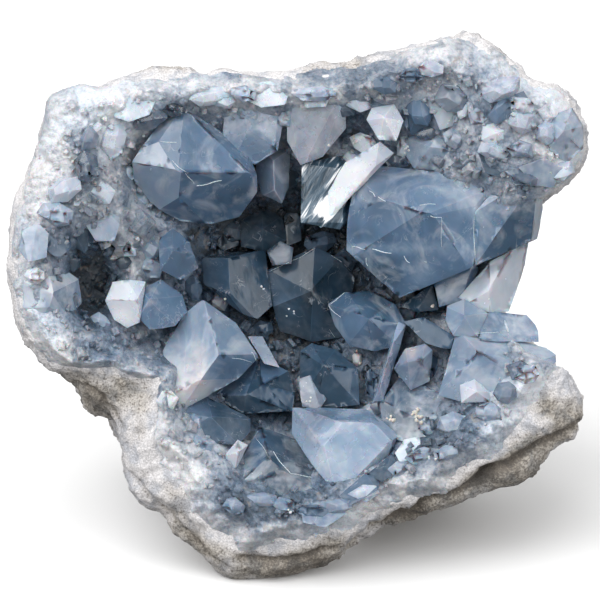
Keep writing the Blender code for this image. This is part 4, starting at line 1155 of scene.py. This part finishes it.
# Colours of celestite and of its sugary crust from dark to light, and tints that they take
TONE_COLOURS = [
    (0.00, (0.005, 0.014, 0.024)),
    (0.25, (0.034, 0.074, 0.122)),
    (0.50, (0.128, 0.225, 0.365)),
    (0.72, (0.315, 0.425, 0.570)),
    (1.00, (0.790, 0.825, 0.880)),
]
CRUST_COLOURS = [
    (0.00, (0.008, 0.016, 0.025)),
    (0.25, (0.050, 0.084, 0.128)),
    (0.50, (0.185, 0.228, 0.292)),
    (0.72, (0.385, 0.412, 0.458)),
    (1.00, (0.700, 0.702, 0.722)),
]
CELESTITE_IOR = 1.62
VEIL_COLOUR = (0.80, 0.84, 0.90, 1)
WARM_TINT = (1.45, 1.00, 0.80, 1)
BLUE_TINT = (0.78, 0.97, 1.16, 1)
PIT_SHADE_TINT = (0.42, 0.44, 0.47, 1)


def add_node(tree, kind, settings=None, **properties):
    """A new node with these input values and properties."""
    made = tree.nodes.new(kind)
    for name, value in properties.items():
        setattr(made, name, value)
    for name, value in (settings or {}).items():
        made.inputs[name].default_value = value
    return made


def ramp(tree, factor, stops):
    """A colour ramp over this factor. A stop's colour is three numbers, or one for a grey."""
    made = tree.nodes.new("ShaderNodeValToRGB")
    elements = made.color_ramp.elements
    while len(elements) < len(stops):
        elements.new(0.5)
    for element, (place, colour) in zip(elements, stops):
        element.position = place
        element.color = (*colour, 1) if isinstance(colour, tuple) else (colour, colour, colour, 1)
    tree.links.new(factor, made.inputs["Fac"])
    return made.outputs["Color"]


def attribute(tree, name):
    return add_node(tree, "ShaderNodeAttribute", attribute_name=name).outputs["Fac"]


def blend(tree, factor, first, second, kind="MIX"):
    """A mix of two colours. Each of the three is a socket or a plain value."""
    made = add_node(tree, "ShaderNodeMix", data_type="RGBA", blend_type=kind)
    for socket, value in ((0, factor), (6, first), (7, second)):
        if isinstance(value, bpy.types.NodeSocket):
            tree.links.new(value, made.inputs[socket])
        else:
            made.inputs[socket].default_value = value
    return made.outputs[2]


def tinted(tree, colour, tint):
    return blend(tree, 1.0, colour, tint, "MULTIPLY")


def arithmetic(tree, kind, *values):
    made = add_node(tree, "ShaderNodeMath", operation=kind)
    for socket, value in enumerate(values):
        if isinstance(value, bpy.types.NodeSocket):
            tree.links.new(value, made.inputs[socket])
        else:
            made.inputs[socket].default_value = value
    return made.outputs[0]


def object_place(tree, stretch=None):
    """The point on the object in metres, or stretched by these three factors."""
    place = tree.nodes.new("ShaderNodeTexCoord").outputs["Object"]
    if stretch is None:
        return place
    mapping = add_node(tree, "ShaderNodeMapping", {"Scale": stretch, "Rotation": (0.5, 0.3, 0.8)})
    tree.links.new(place, mapping.inputs["Vector"])
    return mapping.outputs["Vector"]


def noise_node(tree, place, scale, detail=4.0, distortion=0.0):
    made = add_node(
        tree, "ShaderNodeTexNoise", {"Scale": scale, "Detail": detail, "Distortion": distortion}
    )
    tree.links.new(place, made.inputs["Vector"])
    return made.outputs["Fac"]


def bump_node(tree, height, distance, strength=1.0):
    made = add_node(tree, "ShaderNodeBump", {"Strength": strength, "Distance": distance})
    tree.links.new(height, made.inputs["Height"])
    return made.outputs["Normal"]


def new_material(name):
    material = bpy.data.materials.new(name)
    material.use_nodes = True
    return material, material.node_tree, material.node_tree.nodes["Principled BSDF"]


def celestite(name, transmission, veils, frosted, roughness, depth_density, soft, shine=0.35):
    """Celestite: its transmission, shares of milky veils and frost, least and most roughness."""
    material, tree, shader = new_material(name)
    place = object_place(tree)
    tone = attribute(tree, "tone")
    clouds = noise_node(tree, place, 110, 5, 1.2)
    shade = arithmetic(tree, "MULTIPLY_ADD", clouds, 0.22, -0.11)
    patch = attribute(tree, "patch_light")
    ragged = arithmetic(tree, "MULTIPLY_ADD", noise_node(tree, place, 320, 6, 1.0), 1.6, 0.2)
    patch = arithmetic(tree, "MULTIPLY", patch, ragged)
    lightness = arithmetic(tree, "ADD", arithmetic(tree, "ADD", tone, shade), patch)
    colour = ramp(tree, lightness, TONE_COLOURS)
    warmth = attribute(tree, "warmth")
    tint = attribute(tree, "patch_warm")
    warmth = arithmetic(tree, "ADD", warmth, tint)
    warm = tinted(tree, colour, WARM_TINT)
    colour = blend(tree, warmth, colour, warm)
    veil = ramp(tree, noise_node(tree, place, 75, 7, 2.5), [(0.50, 0.0), (0.74, veils)])
    colour = blend(tree, veil, colour, VEIL_COLOUR)
    frost = attribute(tree, "frost")
    sugary = ramp(tree, noise_node(tree, place, 600, 5), [(0.35, 0.15), (0.65, 0.75)])
    frost = tinted(tree, ramp(tree, frost, [(0.1, 0.0), (1.0, frosted)]), sugary)
    colour = blend(tree, frost, colour, VEIL_COLOUR)
    wisps = arithmetic(tree, "SUBTRACT", noise_node(tree, place, 130, 3, 2.0), 0.5)
    wisps = ramp(tree, arithmetic(tree, "ABSOLUTE", wisps), [(0.0, 0.45), (0.010, 0.0)])
    patches = ramp(tree, noise_node(tree, place, 190, 3), [(0.52, 0.0), (0.64, 1.0)])
    wisps = tinted(tree, wisps, patches)
    colour = blend(tree, wisps, colour, VEIL_COLOUR)
    tree.links.new(colour, shader.inputs["Base Color"])
    dull = ramp(tree, noise_node(tree, place, 260, 4), [(0.35, roughness[0]), (0.7, roughness[1])])
    tree.links.new(dull, shader.inputs["Roughness"])
    relief = noise_node(tree, object_place(tree, (420, 420, 90)), 1.0, 3)
    tree.links.new(bump_node(tree, relief, 0.00025, 0.5), shader.inputs["Normal"])
    shader.inputs["IOR"].default_value = CELESTITE_IOR
    shader.inputs["Specular IOR Level"].default_value = shine
    shader.inputs["Transmission Weight"].default_value = transmission
    shader.inputs["Subsurface Weight"].default_value = soft
    shader.inputs["Subsurface Scale"].default_value = 0.004
    if depth_density:
        absorb = add_node(
            tree,
            "ShaderNodeVolumeAbsorption",
            {"Color": (0.42, 0.60, 0.78, 1), "Density": depth_density},
        )
        output = tree.nodes["Material Output"]
        tree.links.new(absorb.outputs["Volume"], output.inputs["Volume"])
    return material


def mirror_material():
    """Clear celestite with its own gloss: dark blue with long white streaks, a painted reflection of the
    room.
    """
    material, tree, shader = new_material("mirror")
    place = object_place(tree)
    turn = math.radians(58)
    up = Vector((0, math.sin(LEAN), math.cos(LEAN)))
    axes = (
        math.cos(turn) * Vector((1, 0, 0)) + math.sin(turn) * up,
        math.cos(turn) * up - math.sin(turn) * Vector((1, 0, 0)),
        SQUARE,
    )
    place_along = tree.nodes.new("ShaderNodeCombineXYZ")
    for socket, (axis, scale) in enumerate(zip(axes, (110, 800, 240))):
        made = add_node(tree, "ShaderNodeVectorMath", operation="DOT_PRODUCT")
        tree.links.new(place, made.inputs[0])
        made.inputs[1].default_value = axis * scale
        tree.links.new(made.outputs["Value"], place_along.inputs[socket])
    streaks = noise_node(tree, place_along.outputs["Vector"], 1.0, 5, 0.6)
    patch = attribute(tree, "patch_light")
    # painted reflection: white streaks, whiter where the crystal patches add lightness
    white = ramp(tree, arithmetic(tree, "ADD", streaks, patch), [(0.60, 0.0), (0.68, 1.0)])
    colour = ramp(tree, streaks, [(0.38, (0.02, 0.045, 0.07)), (0.62, (0.09, 0.155, 0.22))])
    colour = blend(tree, white, colour, (0.93, 0.95, 0.97, 1))
    tree.links.new(colour, shader.inputs["Base Color"])
    relief = bump_node(tree, streaks, 0.0006, 0.6)
    tree.links.new(relief, shader.inputs["Normal"])
    shader.inputs["Roughness"].default_value = 0.06
    shader.inputs["IOR"].default_value = CELESTITE_IOR
    shader.inputs["Transmission Weight"].default_value = 0.2
    return material


def grain_material():
    """Cream to white grains, and the colour of the flaw lines and painted glints."""
    material, tree, shader = new_material("grains")
    place = object_place(tree)
    warmth = attribute(tree, "warmth")
    colour = ramp(tree, warmth, [(0.0, (0.86, 0.89, 0.92)), (1.0, (0.66, 0.56, 0.46))])
    grain = ramp(tree, noise_node(tree, place, 2000, 4), [(0.35, 0.70), (0.65, 1.0)])
    colour = tinted(tree, colour, grain)
    tree.links.new(colour, shader.inputs["Base Color"])
    shader.inputs["Roughness"].default_value = 0.45
    shader.inputs["Subsurface Weight"].default_value = 0.3
    shader.inputs["Subsurface Scale"].default_value = 0.001
    return material


def rock_material():
    """Pale sugary rock: pinkish white to sandy brown in blotches and stains, darker with painted shade
    in the cracks and on the underside, speckled with dark grains.
    """
    material, tree, shader = new_material("rock")
    place = object_place(tree)
    # stains, with painted shade on the underside and in the cracks
    stain_and_shade = attribute(tree, "stain_and_shade")
    blotch = arithmetic(tree, "ADD", noise_node(tree, place, 80, 6, 0.6), stain_and_shade)
    colour = ramp(
        tree,
        blotch,
        [
            (0.38, (0.76, 0.74, 0.745)),
            (0.54, (0.66, 0.63, 0.615)),
            (0.68, (0.50, 0.462, 0.412)),
            (0.86, (0.34, 0.302, 0.252)),
        ],
    )
    fine = noise_node(tree, place, 1500, 6)
    speckle = arithmetic(tree, "MULTIPLY_ADD", blotch, 0.55, fine)
    speckle = ramp(tree, speckle, [(0.84, 0.0), (0.98, 0.75)])
    colour = blend(tree, speckle, colour, (0.17, 0.150, 0.13, 1))
    sand = ramp(tree, noise_node(tree, place, 2400, 5), [(0.36, 0.70), (0.64, 1.06)])
    colour = tinted(tree, colour, sand)
    grey = ramp(tree, noise_node(tree, place, 230, 5, 0.5), [(0.48, 0.0), (0.62, 0.75)])
    colour = blend(tree, grey, colour, tinted(tree, colour, (0.60, 0.64, 0.70, 1)))
    tree.links.new(colour, shader.inputs["Base Color"])
    dull = ramp(tree, fine, [(0.3, 0.95), (0.7, 0.65)])
    tree.links.new(dull, shader.inputs["Roughness"])
    relief = arithmetic(tree, "ADD", fine, noise_node(tree, place, 2600, 3))
    tree.links.new(bump_node(tree, relief, 0.0004, 0.8), shader.inputs["Normal"])
    shader.inputs["Specular IOR Level"].default_value = 0.4
    return material


def crust_material(name, transmission, soft):
    """The sugary crust: cloudy white and blue-grey patches, fine grains, a few brown specks and darker
    specks of painted shade in small pits; its tone attribute carries painted shade too.
    """
    material, tree, shader = new_material(name)
    place = object_place(tree)
    tone = attribute(tree, "tone")
    grain = noise_node(tree, place, 1100, 5)
    clouds = arithmetic(tree, "MULTIPLY_ADD", noise_node(tree, place, 130, 5, 1.0), 0.80, -0.40)
    grains = arithmetic(tree, "MULTIPLY_ADD", grain, 0.70, -0.34)
    shade = arithmetic(tree, "ADD", arithmetic(tree, "ADD", tone, clouds), grains)
    colour = ramp(tree, shade, CRUST_COLOURS)
    blue = ramp(tree, noise_node(tree, place, 60, 3), [(0.45, 0.0), (0.65, 0.35)])
    colour = blend(tree, blue, colour, tinted(tree, colour, BLUE_TINT))
    brown = ramp(tree, noise_node(tree, place, 300, 6, 0.8), [(0.62, 0.0), (0.72, 0.45)])
    colour = blend(tree, brown, colour, (0.34, 0.29, 0.24, 1))
    # painted shade: darker specks where small pits would be
    pits = ramp(tree, noise_node(tree, place, 620, 4, 0.6), [(0.60, 0.0), (0.70, 0.45)])
    colour = blend(tree, pits, colour, tinted(tree, colour, PIT_SHADE_TINT))
    tree.links.new(colour, shader.inputs["Base Color"])
    dull = ramp(tree, grain, [(0.3, 0.5), (0.7, 0.2)])
    tree.links.new(dull, shader.inputs["Roughness"])
    relief = arithmetic(tree, "ADD", grain, noise_node(tree, place, 3000, 2))
    tree.links.new(bump_node(tree, relief, 0.0004, 0.8), shader.inputs["Normal"])
    shader.inputs["IOR"].default_value = CELESTITE_IOR
    shader.inputs["Transmission Weight"].default_value = transmission
    shader.inputs["Subsurface Weight"].default_value = soft
    shader.inputs["Subsurface Scale"].default_value = 0.0008
    return material


# Browner and whiter parts of the rock's face, stains and, along the lower right and the bottom, painted
# shade on the underside: across, down, half widths, change
STAIN_AND_SHADE_PATCHES = [
    (105, 385, 50, 55, 0.22), (150, 350, 30, 30, 0.18), (145, 434, 14, 12, 0.20),
    (188, 495, 24, 18, 0.16), (222, 548, 46, 16, 0.20), (290, 570, 70, 14, 0.26),
    (530, 420, 60, 34, 0.22), (500, 478, 90, 22, 0.26), (430, 512, 60, 16, 0.20),
    (350, 74, 60, 14, 0.20), (465, 50, 22, 20, 0.18),
    (125, 480, 20, 60, -0.16), (150, 455, 24, 40, -0.12), (160, 505, 40, 18, -0.14),
    (572, 384, 22, 16, -0.24), (520, 424, 40, 10, -0.14),
]


def stain_and_shade_at(across, down):
    stain_and_shade = 0.0
    for patch in STAIN_AND_SHADE_PATCHES:
        stain_and_shade = stain_and_shade + patch[4] * np.exp(-far_from(patch, across, down))
    return stain_and_shade


# Cracks and ledges in the rock, cut into the mesh and painted dark as shade, as lines of places with a
# width in pixels and a depth in metres
CRACKS = [
    ([(584, 426), (560, 438), (528, 452), (500, 466), (470, 488)], 4.5, 0.0034),
    ([(490, 474), (470, 486), (440, 502), (400, 516), (372, 530)], 4.5, 0.0032),
    ([(352, 552), (385, 530), (420, 516)], 4.0, 0.0024),
    ([(108, 425), (120, 470), (150, 500), (185, 535), (225, 570)], 3.0, 0.0012),
    ([(72, 384), (100, 398), (118, 425)], 3.0, 0.0012),
    ([(240, 560), (290, 562), (335, 552)], 4.0, 0.0020),
    ([(300, 72), (345, 66), (398, 60)], 3.0, 0.0010),
    ([(535, 96), (548, 112), (540, 128)], 3.0, 0.0012),
]


def crack_depth(across, down):
    """How deep the cracks cut into the rock at places of the face."""
    depth = 0.0
    for line, width, deep in CRACKS:
        near = np.full(np.shape(across), 1e9)
        for (x0, y0), (x1, y1) in zip(line, line[1:]):
            run_x, run_y = x1 - x0, y1 - y0
            share = ((across - x0) * run_x + (down - y0) * run_y) / (run_x**2 + run_y**2)
            share = np.clip(share, 0, 1)
            far = np.hypot(across - x0 - share * run_x, down - y0 - share * run_y)
            near = np.minimum(near, far)
        depth = depth + deep * np.exp(-((near / width) ** 2))
    return depth


def mesh_arrays(mesh):
    """The points of a mesh and the directions square to its surface there."""
    points = np.empty(len(mesh.vertices) * 3)
    mesh.vertices.foreach_get("co", points)
    square = np.empty(len(mesh.vertices) * 3)
    mesh.vertex_normals.foreach_get("vector", square)
    return points.reshape(-1, 3), square.reshape(-1, 3)


def store(mesh, name, values):
    attribute = mesh.attributes.new(name, "FLOAT", "POINT")
    attribute.data.foreach_set("value", np.ascontiguousarray(values, dtype=np.float32))


def make_rock(material):
    """The rock, with its lumps, ledges, grains and pits in the mesh."""
    mesh = grid_mesh("rock_skin", back_points() + face_points())
    points, square = mesh_arrays(mesh)
    relief = 0.0011 * noise_at(points, 0.0085, 3.0, 4) - 0.0002
    relief -= 0.0010 * pits_at(points, 0.0042, 1.0)
    relief += 0.0005 * noise_at(points, 0.0012, 5.0, 2)
    across, down = drawing_place(points)
    wander = 5 * noise_at(points, 0.010, 33.0, 3)
    facing = np.clip((square @ np.array(SQUARE) + 0.25) / 0.3, 0, 1)
    cracked = crack_depth(across + wander, down + wander) * facing
    relief -= cracked
    relief *= np.minimum(points[:, 2] / 0.002, 1)
    points = points + square * relief[:, None]
    points[:, 2] = np.maximum(points[:, 2], 0)
    mesh.vertices.foreach_set("co", points.ravel())
    border = np.exp(-(((border_share(across, down) - 1.02) / 0.05) ** 2))
    # stains, painted shade on the underside and in the cracks, and a whiter band near the border
    store(mesh, "stain_and_shade", stain_and_shade_at(across, down) + 110 * cracked - 0.32 * border * facing)
    mesh.shade_smooth()
    piece = add_piece("rock_skin", mesh, material)
    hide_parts("rock_shell")
    return piece


def grown_together(across, down, spacing, seed):
    """A mass of small blocks grown together, one in each square of a grid of this many pixels.

    Gives the height of the highest block at each place, from about 0 to 1, and its own lightness.
    """
    dice = np.random.default_rng(seed)
    count = int(PICTURE_WIDTH / spacing) + 3
    centre_y = np.arange(count)[:, None] + dice.uniform(0.05, 0.95, (count, count, 2))[..., 1]
    centre_x = np.arange(count) + dice.uniform(0.05, 0.95, (count, count))
    turn = np.kron(dice.uniform(0, math.pi, (count // 3 + 1,) * 2), np.ones((3, 3)))
    turn = turn[:count, :count] + dice.normal(0, 0.25, (count, count))
    top = dice.uniform(0.45, 1.0, (count, count))
    lean = dice.uniform(-0.45, 0.45, (count, count, 2))
    half = dice.uniform(0.34, 0.72, (count, count, 2))
    own_tone = dice.normal(0, 0.06, (count, count))
    x, y = across / spacing + 1, down / spacing + 1
    best = np.full(across.shape, -9.0)
    tone = np.zeros(across.shape)
    for step in range(9):
        row = np.clip(y.astype(int) + step // 3 - 1, 0, count - 1)
        column = np.clip(x.astype(int) + step % 3 - 1, 0, count - 1)
        far_x = x - centre_x[row, column]
        far_y = y - centre_y[row, column]
        cosine, sine = np.cos(turn[row, column]), np.sin(turn[row, column])
        along = far_x * cosine + far_y * sine
        beside = far_y * cosine - far_x * sine
        slope = lean[row, column]
        size = half[row, column]
        height = top[row, column] + slope[..., 0] * along + slope[..., 1] * beside
        for offset, limit in ((along, size[..., 0]), (beside, size[..., 1])):
            roof = top[row, column] + 0.9 * (0.55 * limit - np.abs(offset))
            wall = top[row, column] + 3.0 * (limit - np.abs(offset))
            height = np.minimum(height, np.minimum(roof, wall))
        tone = np.where(height > best, own_tone[row, column], tone)
        best = np.maximum(best, height)
    return np.clip(best, -0.6, 1.2), tone


def make_bed(material):
    """The crust under the crystals, which dips into the rock at its border."""
    columns, rows = np.arange(0, PICTURE_WIDTH, BED_STEP), np.arange(20, 590, BED_STEP)
    grid_x, grid_y = np.meshgrid(columns, rows)
    share = border_share(grid_x, grid_y)
    flat = np.stack((grid_x, grid_y, 0 * grid_x), axis=-1) * PIXEL
    wavy = share + 0.05 * noise_at(flat, 0.007, 9.0, 3)
    room = edge_at(grid_x, grid_y)[0] - np.hypot(grid_x - MIDDLE[0], grid_y - MIDDLE[1])
    depth = np.clip(np.minimum((1.02 - wavy) / 0.07, (room - 6) / 3), -1, 1)
    warp_x = grid_x + 3.0 * noise_at(flat, 0.006, 15.0, 2)
    warp_y = grid_y + 3.0 * noise_at(flat, 0.006, 17.0, 2)
    large, large_tone = grown_together(warp_x, warp_y, 19.0, SEED)
    small, small_tone = grown_together(warp_x, warp_y, 8.5, SEED + 1)
    sugary = np.clip(0.5 + 1.2 * noise_at(flat, 0.016, 19.0, 2) + 0.5 * (share - 0.7), 0, 1)
    blocks = (1 - 0.75 * sugary) * 0.0024 * large + (0.35 + 0.65 * sugary) * 0.0011 * small
    grains = 0.00022 * noise_at(flat, 0.0011, 13.0, 2)
    lift = GAP + (CRUST_THICKNESS - 0.0016 + blocks + grains) * depth
    points = stand(grid_x, grid_y, rock_face_at(grid_x, grid_y) + lift)
    keep = (wavy < 1.05) & (room > 3)
    index = np.full(grid_x.shape, -1)
    index[keep] = np.arange(keep.sum())
    quads = np.stack((index[:-1, :-1], index[1:, :-1], index[1:, 1:], index[:-1, 1:]), axis=-1)
    quads = quads[(quads >= 0).all(axis=-1)]
    mesh = bpy.data.meshes.new("crust_bed")
    mesh.from_pydata(points[keep], [], quads.tolist())
    mesh.update()
    tone = tone_at(grid_x, grid_y) + (1 - sugary) * large_tone + small_tone
    # painted shade: the crust is darker where its blocks are low, in the creases, and lighter where they
    # stand high
    tone += 0.10 * (large - 0.6) + 0.05 * (small - 0.6)
    tone += border_light(grid_x, grid_y)
    store(mesh, "tone", tone[keep])
    mesh.shade_smooth()
    piece = add_piece("crust_bed", mesh, material)
    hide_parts("crystal_crust")
    return piece


def make_small_crystals(material):
    """Loose small crystals here and there on the crust."""
    dice = np.random.default_rng(SEED)
    across, down = scatter_places(10.5, 0.35, dice)
    width = 0.0015 * dice.lognormal(0, 0.38, len(across))
    width *= np.clip(1.6 - border_share(across, down), 0.5, 1)
    height = width * dice.uniform(0.4, 0.8, len(across))
    on_crust = np.clip((0.99 - border_share(across, down)) / 0.06, 0, 1)
    sink = 0.0004 + (GAP + CRUST_THICKNESS / 2) * (1 - 2 * on_crust)
    sugar = scatter_mesh("sugar", across, down, width, height, 0.45, sink, dice)
    add_piece("sugar", sugar, material)


def make_camera():
    """A long lens square to the open face, so that one pixel is PIXEL metres at the face."""
    target = Vector(stand(*CAMERA_AIM, 0.0))
    camera = bpy.data.cameras.new("camera")
    camera.sensor_width = SENSOR_WIDTH
    camera.lens = SENSOR_WIDTH * CAMERA_DISTANCE / (PICTURE_WIDTH * PIXEL)
    eye = bpy.data.objects.new("camera", camera)
    eye.location = target + SQUARE * CAMERA_DISTANCE
    eye.rotation_euler = (-SQUARE).to_track_quat("-Z", "Y").to_euler()
    bpy.context.collection.objects.link(eye)
    bpy.context.scene.camera = eye


def make_light(name, place, size, power):
    light = bpy.data.lights.new(name, "AREA")
    light.shape = "SQUARE"
    light.size = size
    light.energy = power
    lamp = bpy.data.objects.new(name, light)
    lamp.location = place
    aim = Vector((0, 0, 0.06)) - Vector(place)
    lamp.rotation_euler = aim.to_track_quat("-Z", "Y").to_euler()
    bpy.context.collection.objects.link(lamp)


def make_studio():
    """A plain white floor, a large soft light from the upper left and a sky darker below."""
    builder = bmesh.new()
    bmesh.ops.create_grid(builder, x_segments=1, y_segments=1, size=8)
    mesh = built_mesh("floor", builder)
    material, _, shader = new_material("floor")
    shader.inputs["Base Color"].default_value = (0.92, 0.92, 0.92, 1)
    shader.inputs["Roughness"].default_value = 0.9
    mesh.materials.append(material)
    floor = bpy.data.objects.new("floor", mesh)
    bpy.context.collection.objects.link(floor)
    for ray in ("visible_diffuse", "visible_glossy", "visible_transmission"):
        setattr(floor, ray, False)
    make_light("key", (-1.0, -1.2, 1.7), 2.6, 64)
    make_light("fill", (1.5, -1.2, 0.7), 1.4, 14)
    world = bpy.data.worlds.new("studio")
    world.use_nodes = True
    tree = world.node_tree
    height = tree.nodes.new("ShaderNodeSeparateXYZ")
    tree.links.new(tree.nodes.new("ShaderNodeTexCoord").outputs["Generated"], height.inputs[0])
    share = arithmetic(tree, "MULTIPLY_ADD", height.outputs["Z"], 0.5, 0.5)
    sky = ramp(tree, share, [(0.30, 0.28), (0.52, 0.55), (0.80, 0.95)])
    tree.links.new(sky, tree.nodes["Background"].inputs["Color"])
    tree.nodes["Background"].inputs["Strength"].default_value = 0.85
    bpy.context.scene.world = world
    bpy.context.scene.view_settings.view_transform = "Standard"


noise.seed_set(SEED)
make_rock(rock_material())
make_bed(crust_material("crust_bed", 0.0, 0.3))
make_small_crystals(crust_material("sugar", 0.15, 0.5))
crystals = make_large_crystals(
    {
        "clear": celestite("clear", 0.70, 0.40, 0.55, (0.04, 0.16), 12, 0.3),
        "cloudy": celestite("cloudy", 0.38, 0.50, 0.60, (0.08, 0.28), 10, 0.5),
        "milky": celestite("milky", 0.25, 0.50, 0.70, (0.15, 0.45), 0, 0.5),
        "mirror": mirror_material(),
        "slate": celestite("slate", 0.35, 0.08, 0.16, (0.08, 0.25), 14, 0.2, 0.15),
    }
)
in_front = front_tree(crystals)
# the grains' material also colours the flaw lines and painted glints
grains = grain_material()
make_flaws_and_glints(in_front, grains)
make_grains(in_front, grains)
make_camera()
make_studio()
